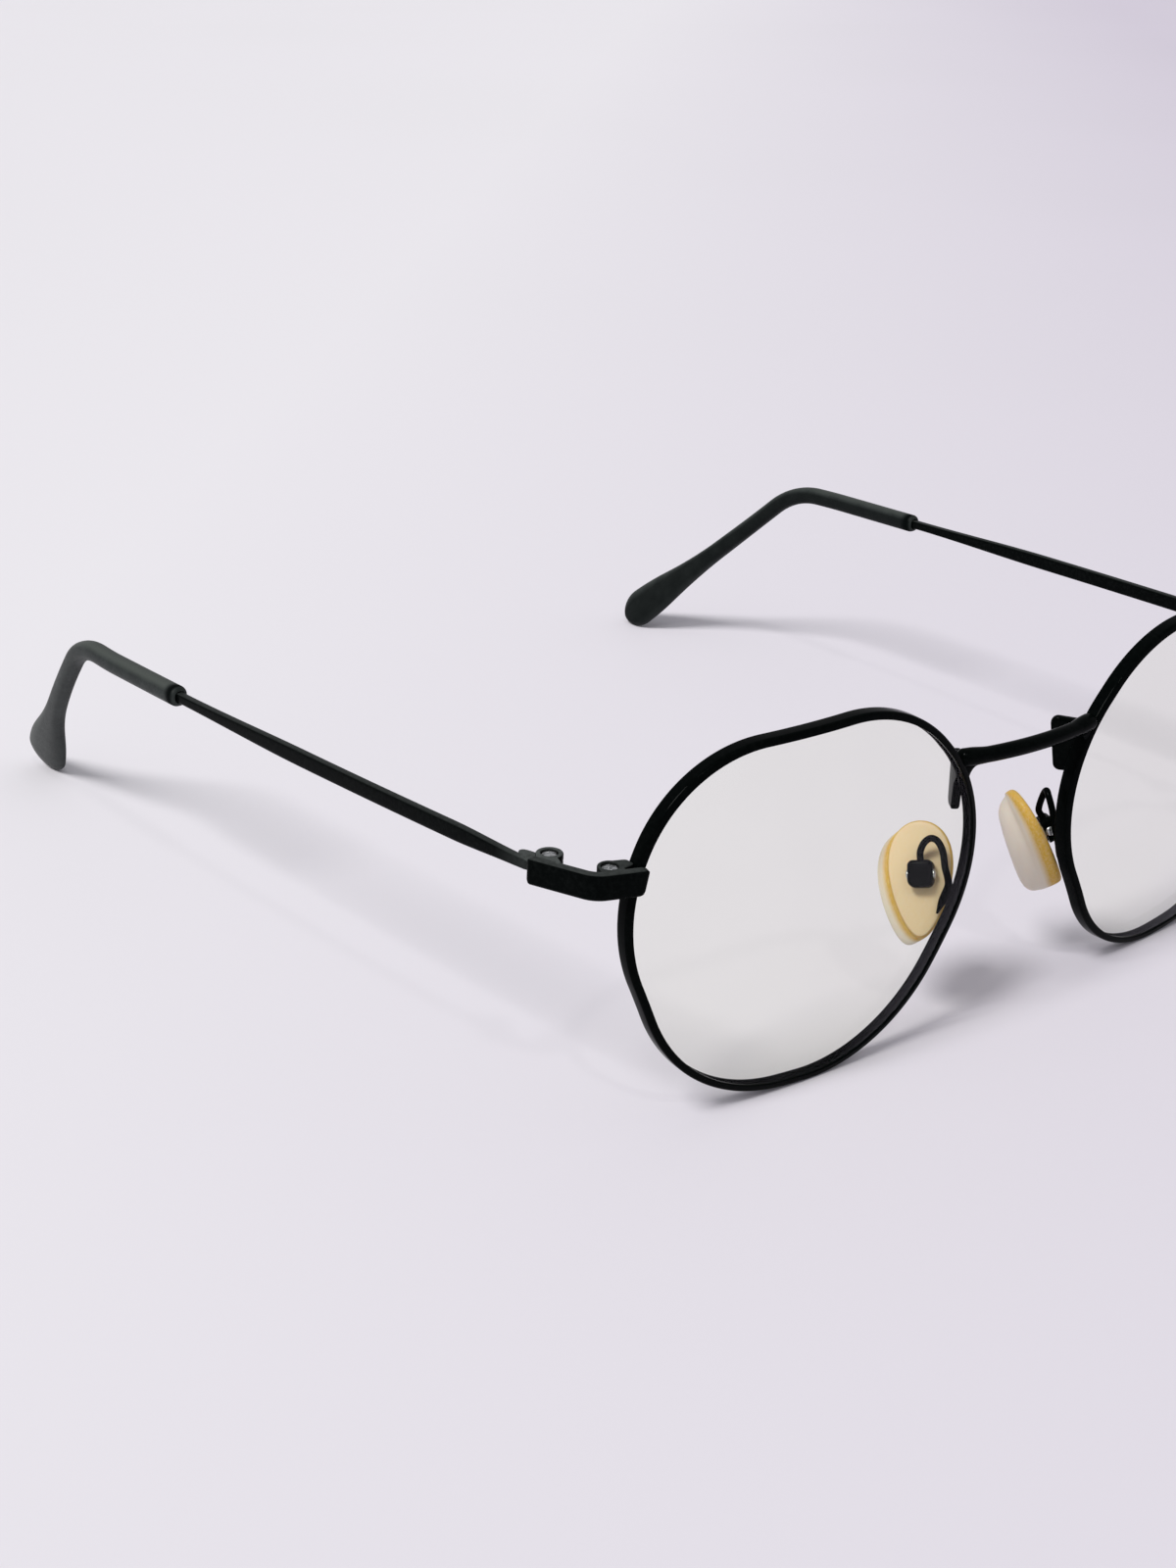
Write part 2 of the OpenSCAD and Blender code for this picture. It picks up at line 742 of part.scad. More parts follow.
// Width, thickness and turn of the tip at a length along it
function tip_width(s) =
    lookup(s - temple_length, [[-35, sleeve_height], [-21, 3.1], [-15, 0.6 * paddle_width],
        [-9, 0.92 * paddle_width], [-4, paddle_width]]);
function tip_thickness(s) = blend(sleeve_height * 0.94, paddle_thickness, s, temple_length - 23, temple_length - 11);
function tip_twist(s) = blend(0, paddle_twist, s, temple_length - 35, temple_length - 11);

// Outer ring of the tip: rounded off over its last four millimetres
function tip_ring(s) =
    let (round_off = sqrt(max(1 - pow(max(s - temple_length + 4, 0) / 4, 2), 0.02)))
    temple_ring(s, tip_width(s) * round_off, tip_thickness(s) * (0.3 + 0.7 * round_off), 16, 0.85,
        tip_twist(s), blend(0, 0.12, s, temple_length - 20, temple_length - 4));

module temple_tip(side) {
    last = temple_length;
    bore = core_rings(core_d);
    stations = concat([for (k = [0:22]) blend(sleeve_start, last - 4, k, 0, 22)],
        [last - 2.6, last - 1.4, last - 0.6, last - 0.1]);
    color("#454d4b") in_hinge(side)
        skin(concat([for (k = [len(bore) - 1:-1:0]) bore[k]], [for (s = stations) tip_ring(s)]));
}

rim("right");  // rim_right
rim("left");  // rim_left
lens("right");  // lens_right
lens("left");  // lens_left
bridge();
bridge_lug("right");  // bridge_lug_right
bridge_lug("left");  // bridge_lug_left
pad_arm("right");  // pad_arm_right
pad_arm("left");  // pad_arm_left
pad_box("right");  // pad_box_right
pad_box("left");  // pad_box_left
pad_screw("right");  // pad_screw_right
pad_screw("left");  // pad_screw_left
pad_core("right");  // pad_core_right
pad_core("left");  // pad_core_left
nose_pad("right");  // nose_pad_right
nose_pad("left");  // nose_pad_left
endpiece("right");  // endpiece_right
endpiece("left");  // endpiece_left
closing_block("right");  // closing_block_right
closing_block("left");  // closing_block_left
rim_screw("right");  // rim_screw_right
rim_screw("left");  // rim_screw_left
hinge_front("right");  // hinge_front_right
hinge_front("left");  // hinge_front_left
hinge_screw("right");  // hinge_screw_right
hinge_screw("left");  // hinge_screw_left
hinge_temple("right");  // hinge_temple_right
hinge_temple("left");  // hinge_temple_left
temple("right");  // temple_right
temple("left");  // temple_left
temple_tip("right");  // temple_tip_right
temple_tip("left");  // temple_tip_left
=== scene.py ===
"""Polygonal metal eyeglasses with folding temples, standing on a pale sweep in soft studio light.

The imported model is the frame. Each sub-assembly is a class that works out its surfaces with numpy, as
grids of points, and puts them into meshes that stand for the plain solids. Sizes are in millimetres and
meshes are in metres. +X is the wearer's left, the lenses face -Y and +Z is up. Every piece is worked out
for the wearer's left side, and a right piece is its mirror image in the plane x = 0.
"""

from __future__ import annotations

import logging
from collections.abc import Sequence
from dataclasses import dataclass, field, replace
from enum import Enum

import bpy
import numpy as np
from mathutils import Matrix

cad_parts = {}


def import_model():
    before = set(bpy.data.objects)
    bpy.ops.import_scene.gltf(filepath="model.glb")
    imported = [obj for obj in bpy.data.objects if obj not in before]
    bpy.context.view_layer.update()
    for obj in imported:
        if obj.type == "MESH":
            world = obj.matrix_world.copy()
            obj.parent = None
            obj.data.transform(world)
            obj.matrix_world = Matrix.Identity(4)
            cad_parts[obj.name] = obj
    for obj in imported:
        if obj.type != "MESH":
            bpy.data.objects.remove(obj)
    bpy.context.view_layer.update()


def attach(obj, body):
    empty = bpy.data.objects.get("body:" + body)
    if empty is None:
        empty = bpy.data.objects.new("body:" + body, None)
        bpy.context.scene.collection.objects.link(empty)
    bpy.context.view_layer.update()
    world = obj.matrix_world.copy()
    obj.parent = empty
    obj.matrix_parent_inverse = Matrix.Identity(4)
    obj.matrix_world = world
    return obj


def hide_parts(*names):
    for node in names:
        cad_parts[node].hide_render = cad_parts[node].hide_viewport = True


LOG = logging.getLogger("eyeglasses")
METRES = 0.001
FULL_TURN = 2 * np.pi
QUARTER_TURN = np.pi / 2

Array = np.ndarray
Pair = tuple[float, float]
Triple = tuple[float, float, float]
Socket = bpy.types.NodeSocket


class Side(Enum):
    """The wearer's side that a piece belongs to."""

    RIGHT = "right"
    LEFT = "left"

    @property
    def sign(self) -> float:
        """Factor on x that brings a left piece to this side."""
        return -1.0 if self is Side.RIGHT else 1.0


class Axis(Enum):
    """An axis, by its place in a point."""

    X = 0
    Y = 1
    Z = 2


class Body(Enum):
    """A body that pieces ride on, by its name without a side."""

    FRONT = "front"
    PAD = "pad"
    TEMPLE = "temple"

    def on(self, side: Side) -> str:
        """Name of the body on one side. The front is one body for both."""
        return self.value if self is Body.FRONT else f"{self.value}_{side.value}"


class Drive(Enum):
    """What is pressed into a screw's head."""

    STRAIGHT = "straight"
    CROSS = "cross"


# Turning, placing and smooth curves


def polar(angle: Array | float) -> Array:
    """Unit vectors of a plane at angles in degrees."""
    return np.stack([np.cos(np.radians(angle)), np.sin(np.radians(angle))], axis=-1)


def around(sides: int) -> Array:
    """Angles in radians at even steps round a full turn."""
    return np.linspace(0, FULL_TURN, sides, endpoint=False)


def turn(axis: Axis, angle: float) -> Array:
    """Matrix of a turn: the cosine on the two other axes, the sine and its opposite across them.

    Args:
        axis: axis to turn about.
        angle: angle in degrees.

    Returns:
        Matrix, 3 by 3.
    """
    first, second = (axis.value + 1) % 3, (axis.value + 2) % 3
    cosine, sine = polar(angle)
    matrix = np.eye(3)
    matrix[first, first] = matrix[second, second] = cosine
    matrix[second, first], matrix[first, second] = sine, -sine
    return matrix


@dataclass(frozen=True)
class Place:
    """A frame of reference: a point in it is turned and then moved."""

    turn: Array
    move: Array

    def put(self, points: Array) -> Array:
        """Points of this frame, in the frame around it."""
        return points @ self.turn.T + self.move

    def within(self, outer: Place) -> Place:
        """The same frame, given in the frame around the outer one."""
        return Place(outer.turn @ self.turn, outer.turn @ self.move + outer.move)


def moved(x: float, y: float, z: float) -> Place:
    """Frame that is moved and not turned."""
    return Place(np.eye(3), np.array([x, y, z]))


def heading(a: Array | Pair, b: Array | Pair) -> float:
    """Angle in degrees from point a to point b of a plane."""
    return float(np.degrees(np.arctan2(b[1] - a[1], b[0] - a[0])))


def unit(vectors: Array) -> Array:
    """Vectors scaled to a length of one."""
    return vectors / np.linalg.norm(vectors, axis=-1, keepdims=True)


def walked(points: Array) -> Array:
    """Length walked along a curve up to each of its points."""
    return np.concatenate([[0], np.cumsum(np.linalg.norm(np.diff(points, axis=0), axis=1))])


def ramp(a: float, b: float, s: Array, start: float, end: float) -> Array:
    """Straight change from a to b as s runs from start to end, and level outside."""
    return a + (b - a) * np.clip((s - start) / (end - start), 0, 1)


def ease(a: float, b: float, s: Array, start: float, end: float) -> Array:
    """Smooth change from a to b: t squared times 3 - 2t, with t running from start to end."""
    t = np.clip((s - start) / (end - start), 0, 1)
    return a + (b - a) * t * t * (3 - 2 * t)


def round_end(t: Array, least: float) -> Array:
    """Size of a part that closes in a round end: root of 1 - t squared, with t held between 0 and 1."""
    return np.sqrt(np.clip(1 - np.clip(t, 0, 1) ** 2, least, 1))


def spline(knots: Array, steps: int) -> Array:
    """Smooth curve through points, a cubic between each two that is level with its neighbours.

    Args:
        knots: points in order, one a row.
        steps: points made for each stretch.

    Returns:
        The curve's points, one a row.
    """
    k = np.vstack([knots[:1], knots, knots[-1:]])
    t = (np.arange(steps) / steps)[None, :, None]
    a, b, c, d = (k[i : len(k) - 3 + i][:, None] for i in range(4))
    curve = 0.5 * (2 * b + (c - a) * t + (2 * a - 5 * b + 4 * c - d) * t**2 + (3 * b - a - 3 * c + d) * t**3)
    return np.vstack([curve.reshape(-1, knots.shape[1]), knots[-1:]])


def rounded_polygon(corners: Array, radii: Array | Sequence[float], steps: int) -> Array:
    """Closed polygon of a plane with an arc in each corner, worked out for all corners at once.

    Each arc's middle lies on the corner's bisector, at the radius over the sine of half the corner. Its
    points are those of the chord between its ends, pushed out from the middle to the radius.

    Args:
        corners: the corners in order.
        radii: the arc's radius in each corner.
        steps: points on each arc.

    Returns:
        Points round the polygon, steps for each corner.
    """
    tiny = 1e-9
    radii = np.asarray(radii, float)[:, None]
    before = unit(np.roll(corners, 1, axis=0) - corners)
    after = unit(np.roll(corners, -1, axis=0) - corners)
    half = 0.5 * np.arccos(np.clip((before * after).sum(-1), -0.9999, 0.9999))[:, None]
    reach = radii / np.tan(half)
    middle = corners + unit(before + after + tiny) * radii / np.sin(half)
    t = np.linspace(0, 1, steps)[None, :, None]
    chord = (1 - t) * (corners + before * reach)[:, None] + t * (corners + after * reach)[:, None]
    chord = chord - middle[:, None]
    length = np.linalg.norm(chord, axis=-1, keepdims=True)
    arc = np.divide(chord, length, out=np.zeros_like(chord), where=length > tiny)
    return (middle[:, None] + arc * radii[:, None]).reshape(-1, 2)


def rounded_box(half_width: float, half_height: float, radii: Array, steps: int) -> Array:
    """Upright box round the origin with an arc in each corner, in order from the lower left one."""
    signs = np.array([(-1, -1), (1, -1), (1, 1), (-1, 1)])
    return rounded_polygon(signs * [half_width, half_height], radii, steps)


def drawn_in(outline: Array, heart: Array, shares: Array) -> Array:
    """Copies of an outline, each drawn in towards a middle point to its share of the full size."""
    return heart + (outline - heart) * shares[:, None, None]


def wire(curve: Array, radius: Array, across: Array, sides: int) -> Array:
    """Grid of a round wire: a circle in two directions square to a curve, carried along it.

    Args:
        curve: points along the wire's middle.
        radius: radius at each point.
        across: direction that the circle's first direction stays square to.
        sides: points round the wire.

    Returns:
        Grid of points, one row for each point of the curve.
    """
    along = unit(np.gradient(curve, axis=0))
    first = unit(np.cross(along, across))
    second = np.cross(first, along)
    a = around(sides)[None, :, None]
    ring = first[:, None] * np.cos(a) + second[:, None] * np.sin(a)
    return curve[:, None] + ring * radius[:, None, None]


def turned(profile: Array | Sequence[Pair], sides: int) -> Array:
    """Grid of a turned part: a profile of radius r and height h carried round Z, as r cos a, r sin a, h."""
    a, (r, h) = around(sides), np.array(profile).T[..., None]
    return np.stack([r * np.cos(a), r * np.sin(a), h + 0 * a], -1)


def reach_of(polygon: Array, angles: Array) -> Array:
    """Distance from the origin to the farthest crossing of a polygon, at each angle.

    A ray p = r * (cos, sin) meets the edge from a to b where r = cross(a, b - a) / cross(ray, b - a).

    Args:
        polygon: the polygon's points in order.
        angles: angles of the rays in degrees.

    Returns:
        The distances, 0 where a ray meets no edge.
    """
    tiny = 1e-9
    ray, edge = polar(angles), np.roll(polygon, -1, axis=0) - polygon
    x, y = ray[:, :1], ray[:, 1:]
    down = x * edge[:, 1] - y * edge[:, 0]
    down = np.where(np.abs(down) < tiny, tiny, down)
    r = (polygon[:, 0] * edge[:, 1] - polygon[:, 1] * edge[:, 0]) / down
    along = (r * x - polygon[:, 0]) * edge[:, 0] + (r * y - polygon[:, 1]) * edge[:, 1]
    along = along / (edge**2).sum(-1)
    return np.where((along >= 0) & (along <= 1) & (r > 0), r, 0).max(1)


def softened(reach: Array, width: float) -> Array:
    """Reach round an axis, averaged over a bell of a width in degrees, which fillets its inner corners."""
    bell = np.exp(-0.5 * ((np.arange(len(reach)) - len(reach) // 2) * 360 / len(reach) / width) ** 2)
    return np.real(np.fft.ifft(np.fft.fft(reach) * np.fft.fft(np.fft.ifftshift(bell / bell.sum()))))


def slab(reach: Array, bottom: float, top: float, edge: float, recess: float = 0, deep: float = 0) -> Array:
    """Grid of a flat plate round an axis, with rounded rims and a round recess in its top.

    Args:
        reach: distance from the axis to the plate's edge, at even angles round a full turn.
        bottom: height of the underside.
        top: height of the top.
        edge: radius of the rounding.
        recess: radius of the recess.
        deep: depth of the recess.

    Returns:
        Grid of points: rows from the recess, over the top and the side, to the underside.
    """
    t, tiny, low, slope = np.linspace(0, QUARTER_TURN, 6), 0.02, top - deep, min(0.08, deep / 3)
    floor = [(recess - tiny, low), (recess, low + tiny), (recess, top - slope), (recess + slope, top)]
    rows = [(tiny, low)] + (floor if deep else [])
    rows += [(reach - edge + edge * np.sin(x), top - edge + edge * np.cos(x)) for x in t]
    rows += [(reach - edge + edge * np.cos(x), bottom + edge - edge * np.sin(x)) for x in t]
    rows += [(tiny, bottom)]
    ray = polar(np.linspace(0, 360, len(reach), endpoint=False))
    return np.stack([np.column_stack([ray * (r + 0 * reach)[:, None], h + 0 * reach]) for r, h in rows])


def screw_shape(
    head: float, shank: float, thick: float, length: float, dome: float, half_slot: float, drive: Drive
) -> Array:
    """Grid of a screw that hangs from its head's top at height 0, with a low dome and a slot pressed in.

    Each ring lies at a radius r with the height dome * (1 - r squared / head squared) - dome. A point
    nearer the slot's middle line than the half slot goes down by up to a quarter of a millimetre.

    Args:
        head: radius of the head.
        shank: radius of the shank.
        thick: height of the head.
        length: whole length.
        dome: height of the dome.
        half_slot: half width of the slot.
        drive: what the slot is like.

    Returns:
        Rows from the head's middle to the shank's end.
    """
    sides, deep, cross_reach = 96, 0.26, 0.62
    r = np.linspace(0.02, head * 0.94, 22)
    top = turned(np.column_stack([r, dome * (1 - (r / head) ** 2) - dome]), sides)
    x, y = np.abs(top[..., 0]), np.abs(top[..., 1])
    line = x
    if drive is Drive.CROSS:
        line = np.maximum(np.minimum(x, y), np.maximum(np.hypot(x, y) - cross_reach * head, 0))
    top[..., 2] -= deep * np.clip((half_slot * 1.25 - line) / (half_slot * 0.35), 0, 1)
    side = [(head, -dome - 0.08), (head, -thick), (shank, -thick - 0.01)]
    end = [(shank, -length + 0.1), (shank * 0.8, -length)]
    return np.concatenate([top, turned(side + end, sides)])


# Meshes


def linked(name: str, data: bpy.types.ID) -> bpy.types.Object:
    """New object of the scene.

    Args:
        name: its name.
        data: its mesh, camera or lamp.

    Returns:
        The object, at the origin.
    """
    obj = bpy.data.objects.new(name, data)
    bpy.context.scene.collection.objects.link(obj)
    return obj


def placed(x: Array, y: Array, z: Array, at: Array) -> Matrix:
    """Placing matrix of an object, by its three axes and its place."""
    return Matrix(np.vstack([np.column_stack([x, y, z, at]), [0, 0, 0, 1]]).tolist())


def band_faces(rows: int, columns: int) -> Array:
    """Quads between neighbouring rows of a grid of points, whose columns close on themselves.

    Args:
        rows: rows of the grid.
        columns: columns of the grid.

    Returns:
        Four point numbers for each face.
    """
    number = np.arange(rows * columns).reshape(rows, columns)
    following = np.roll(number, -1, axis=1)
    return np.stack([number[:-1], following[:-1], following[1:], number[1:]], -1).reshape(-1, 4)


def painted_top_highlight(grid: Array, amount: float) -> Array:
    """Tone of a part's highest face, a painted highlight there: amount there, and down to nothing a tenth of
    a millimetre lower.
    """
    return amount * np.clip((grid[..., 2] - grid[..., 2].max() + 0.12) / 0.08, 0, 1)


@dataclass
class Shell:
    """A closed surface: one or more grids of points whose ends are shut by fans."""

    points: list[Array] = field(default_factory=list)
    faces: list[Array] = field(default_factory=list)
    tones: list[Array] = field(default_factory=list)
    count: int = 0

    def add(self, grid: Array, tone: Array | float = 0.0) -> Shell:
        """Adds a grid, closed along its columns and shut at both end rows by fans to their middles.

        Args:
            grid: points, rows by columns by 3.
            tone: a number for each point, kept as the tone attribute.

        Returns:
            This shell.
        """
        rows, columns = grid.shape[:2]
        tone = np.broadcast_to(tone, (rows, columns))
        ring = np.arange(columns)
        following, last, heart = np.roll(ring, -1), (rows - 1) * columns, rows * columns
        start_fan = np.stack([following, ring, np.full(columns, heart)], -1)
        end_fan = np.stack([last + ring, last + following, np.full(columns, heart + 1)], -1)
        self.points += [grid.reshape(-1, 3), grid[[0, -1]].mean(1)]
        self.faces += [self.count + block for block in (band_faces(rows, columns), start_fan, end_fan)]
        self.tones += [tone.reshape(-1), tone[[0, -1]].mean(1)]
        self.count += rows * columns + 2
        return self

    def mesh(self, name: str, side: Side, crease: float) -> bpy.types.Object:
        """Mesh object of the shell, with its faces outwards, smooth but for edges sharper than crease.

        The enclosed volume, a sixth of the sum of the triangles' triple products, gives the sign that
        the faces need, so a mirrored side comes out right too.

        Args:
            name: name of the object.
            side: the wearer's side.
            crease: angle in degrees from which an edge stays sharp.

        Returns:
            The object, at the origin.
        """
        points = np.vstack(self.points) * METRES * [side.sign, 1, 1]
        faces = [list(f) for block in self.faces for f in block]
        halves = [b[:, :3] for b in self.faces] + [b[:, [0, 2, 3]] for b in self.faces if b.shape[1] == 4]
        a, b, c = (points[np.vstack(halves)[:, i]] for i in range(3))
        if np.einsum("ij,ij->", a, np.cross(b, c)) < 0:
            faces = [f[::-1] for f in faces]
        mesh = bpy.data.meshes.new(name)
        mesh.from_pydata(points.tolist(), [], faces)
        mesh.shade_smooth()
        mesh.set_sharp_from_angle(angle=np.radians(crease))
        tone = mesh.attributes.new("tone", "FLOAT", "POINT")
        tone.data.foreach_set("value", np.concatenate(self.tones).astype(np.float32))
        mesh.update()
        return linked(name, mesh)


# Finishes


class Nodes:
    """Short way to write a material's nodes."""

    def __init__(self, name: str) -> None:
        """Makes a material with its Principled shader.

        Args:
            name: name of the material.
        """
        self.material = bpy.data.materials.new(name)
        self.material.use_nodes = True
        self.tree = self.material.node_tree
        self.shader = self.tree.nodes["Principled BSDF"]
        self.coords = self.tree.nodes.new("ShaderNodeTexCoord").outputs["Object"]

    def join(self, socket: Socket, value: object) -> None:
        """Fills a socket.

        Args:
            socket: the socket.
            value: another node's output, a number, or a colour of three or four parts.
        """
        if isinstance(value, Socket):
            self.tree.links.new(value, socket)
        else:
            socket.default_value = (*value, 1) if isinstance(value, tuple) and len(value) == 3 else value

    def fill(self, node: bpy.types.Node, **sockets: object) -> bpy.types.Node:
        """Fills a node's inputs.

        Args:
            node: the node.
            **sockets: values by the inputs' names, with _ for a space.

        Returns:
            The same node.
        """
        for name, value in sockets.items():
            self.join(node.inputs[name.replace("_", " ")], value)
        return node

    def node(self, kind: str, **sockets: object) -> bpy.types.Node:
        """Adds a node and fills its inputs."""
        return self.fill(self.tree.nodes.new(kind), **sockets)

    def tone(self) -> Socket:
        """Adds the mesh's tone attribute.

        Returns:
            The tone.
        """
        made = self.node("ShaderNodeAttribute")
        made.attribute_name = "tone"
        return made.outputs["Fac"]

    def noise(self, scale: float, detail: float = 3, roughness: float = 0.55) -> Socket:
        """Cloudy pattern on the object's own coordinates, with scale in waves to the metre."""
        sockets = {"Scale": scale, "Detail": detail, "Roughness": roughness, "Vector": self.coords}
        return self.node("ShaderNodeTexNoise", **sockets).outputs["Fac"]

    def spread(self, value: Socket, low: float, high: float, start: float = 0.3, end: float = 0.7) -> Socket:
        """Value between start and end, spread over low to high."""
        sockets = {"Value": value, "From Min": start, "From Max": end, "To Min": low, "To Max": high}
        return self.node("ShaderNodeMapRange", **sockets).outputs["Result"]

    def mix(self, factor: Socket, a: Socket | Triple, b: Socket | Triple) -> Socket:
        """Mix of two colours.

        Args:
            factor: share of the second colour.
            a: the first colour.
            b: the second colour.

        Returns:
            The mixed colour.
        """
        made = self.node("ShaderNodeMix")
        made.data_type = "RGBA"
        for number, value in ((0, factor), (6, a), (7, b)):
            self.join(made.inputs[number], value)
        return made.outputs[2]

    def bump(self, height: Socket, distance: float, strength: float) -> None:
        """Surface relief of a height pattern, distance in metres."""
        made = self.node("ShaderNodeBump", Strength=strength, Distance=distance, Height=height)
        self.fill(self.shader, Normal=made.outputs["Normal"])


def dimmed(colour: Triple, share: float) -> Triple:
    """A colour, brought down to a share of its light."""
    return tuple(share * part for part in colour)


@dataclass(frozen=True)
class Lacquer:
    """Baked black lacquer over metal, a little uneven, and lighter grey where its tone attribute is 1, which
    paints highlights on top faces and edges.
    """

    name: str
    colour: Triple = (0.0008, 0.0014, 0.0013)
    scuffed: Triple = (0.0022, 0.003, 0.0029)
    highlight_and_wear_grey: Triple = (0.085, 0.094, 0.092)
    gloss: Pair = (0.09, 0.15)
    shine: float = 0.018

    def make(self) -> bpy.types.Material:
        """Material of the lacquer.

        Returns:
            The material, with the finish\'s name.
        """
        n = Nodes(self.name)
        wear = n.noise(1900, 5, 0.65)
        skin = n.mix(n.spread(wear, 0, 1, 0.45, 0.75), self.colour, self.scuffed)
        highlight_and_wear = n.mix(n.spread(wear, 0, 0.5, 0.4, 0.7), self.highlight_and_wear_grey, self.scuffed)
        # The tone mixes in the lighter grey, a painted highlight on top faces and edges.
        colour, roughness = n.mix(n.tone(), skin, highlight_and_wear), n.spread(n.noise(260, 4), *self.gloss)
        n.fill(n.shader, Base_Color=colour, Roughness=roughness, Specular_IOR_Level=self.shine)
        n.bump(n.noise(2600), 0.000012, 0.35)
        return n.material


@dataclass(frozen=True)
class ScrewSteel:
    """Bare steel of the screws, a little stained."""

    name: str = "screw steel"
    colour: Triple = (0.6, 0.61, 0.62)
    shade: Triple = (0.05, 0.05, 0.055)

    def make(self) -> bpy.types.Material:
        """Material of the screws.

        Returns:
            The material, with the finish\'s name.
        """
        n = Nodes(self.name)
        grime = n.noise(2400, 4)
        colour = n.mix(n.spread(grime, 0, 0.8, 0.5, 0.75), self.colour, self.shade)
        n.fill(n.shader, Base_Color=colour, Roughness=n.spread(grime, 0.22, 0.42), Metallic=1.0)
        n.bump(n.noise(5200, 2), 0.00001, 0.4)
        return n.material


@dataclass(frozen=True)
class ClearLens:
    """Polished lens with a thin coat against glare: it tints what is behind it and mirrors a little."""

    name: str = "lens"
    tint: Triple = (0.994, 1.0, 0.97)
    shine: Triple = (0.9, 0.88, 0.97)

    def make(self) -> bpy.types.Material:
        """Material of the lenses: clear tinted passage mixed with a mirror, by the angle of view.

        Returns:
            The material, with the finish\'s name.
        """
        n = Nodes(self.name)
        tint = n.mix(n.spread(n.noise(60, 2), 0, 1), self.tint, dimmed(self.tint, 0.99))
        clear = n.node("ShaderNodeBsdfTransparent", Color=tint)
        mirror = n.node("ShaderNodeBsdfAnisotropic", Color=self.shine, Roughness=0.03)
        facing = n.node("ShaderNodeLayerWeight", Blend=0.5).outputs["Facing"]
        both = n.node("ShaderNodeMixShader")
        n.join(both.inputs[0], n.spread(facing, 0.012, 0.3, 0.55, 1.0))
        n.join(both.inputs[1], clear.outputs[0])
        n.join(both.inputs[2], mirror.outputs[0])
        n.fill(n.tree.nodes["Material Output"], Surface=both.outputs[0])
        n.tree.nodes.remove(n.shader)
        return n.material


@dataclass(frozen=True)
class Silicone:
    """Soft clear silicone that has yellowed, most of all round its edge."""

    name: str = "pad silicone"
    face: Triple = (0.68, 0.52, 0.31)
    edge: Triple = (0.56, 0.34, 0.04)
    crown: Triple = (0.7, 0.63, 0.52)

    def make(self) -> bpy.types.Material:
        """Material of the pads. Their tone attribute is 0 on the crown, 1 at the edge and 2 on the back.

        Returns:
            The material, with the finish\'s name.
        """
        n = Nodes(self.name)
        tone = n.tone()
        edge = n.mix(n.spread(tone, 0, 1, 0.5, 0.72), self.crown, self.edge)
        colour = n.mix(n.spread(tone, 0, 1, 1.2, 1.45), edge, self.face)
        n.fill(
            n.shader,
            Base_Color=n.mix(n.spread(n.noise(3000, 4, 0.7), 0, 0.3, 0.4, 0.75), colour, self.crown),
            Roughness=n.spread(n.noise(700), 0.3, 0.5),
            Subsurface_Weight=0.15,
            Subsurface_Scale=0.0015,
            Specular_IOR_Level=0.2,
            Alpha=n.spread(tone, 0.66, 0.98, 0.1, 0.8),
        )
        n.bump(n.noise(1500), 0.00003, 0.3)
        return n.material


@dataclass(frozen=True)
class PadCore:
    """Yellowed clear plastic of the insert inside a pad."""

    name: str = "pad core"
    colour: Triple = (0.66, 0.5, 0.28)

    def make(self) -> bpy.types.Material:
        """Material of the pad inserts.

        Returns:
            The material, with the finish\'s name.
        """
        n = Nodes(self.name)
        cloud = n.noise(1200)
        colour = n.mix(n.spread(cloud, 0, 1), self.colour, dimmed(self.colour, 0.85))
        n.fill(n.shader, Base_Color=colour, Roughness=n.spread(cloud, 0.3, 0.5))
        n.bump(cloud, 0.00002, 0.3)
        return n.material


@dataclass(frozen=True)
class TipRubber:
    """Matt rubber of the tips, dark grey-green with a fine dry grain, a black band at the mouth and a
    painted sheen on top.
    """

    name: str = "tip rubber"
    colour: Triple = (0.006, 0.0095, 0.009)
    dry: Triple = (0.02, 0.0255, 0.024)
    mouth: Triple = (0.002, 0.003, 0.003)
    pale: Triple = (0.05, 0.058, 0.053)

    def make(self) -> bpy.types.Material:
        """Material of the tips. Their tone is 1 in the mouth, less on the inner side and below 0 on top,
        where the pale colour paints a sheen.

        Returns:
            The material, with the finish\'s name.
        """
        n = Nodes(self.name)
        tone, grain = n.tone(), n.noise(3800, 4, 0.7)
        skin = n.mix(n.spread(n.noise(420, 4), 0, 1), self.colour, self.dry)
        dusty = n.mix(n.spread(grain, 0, 0.5, 0.5, 0.8), skin, self.dry)
        n.fill(
            n.shader,
            # The pale colour where the tone is below 0 is a painted sheen on the top.
            Base_Color=n.mix(n.spread(tone, 0, 1, 0, -1), n.mix(tone, dusty, self.mouth), self.pale),
            Roughness=n.spread(grain, 0.5, 0.68),
            Specular_IOR_Level=n.spread(tone, 0.25, 0.01, 0, 1),
            Sheen_Weight=n.spread(tone, 0.12, 0.0, 0, 1),
            Sheen_Roughness=0.3,
        )
        n.bump(grain, 0.00004, 0.5)
        return n.material


class Slot(Enum):
    """A slot of the eyeglasses' looks."""

    RIM = "rim_lacquer"
    WIRE = "fine_wire"
    SATIN = "satin_lacquer"
    TEMPLE = "temple_lacquer"
    STEEL = "screw_steel"
    LENS = "lens"
    SILICONE = "pad_silicone"
    CORE = "pad_core"
    RUBBER = "tip_rubber"


Finishes = dict[Slot, bpy.types.Material]


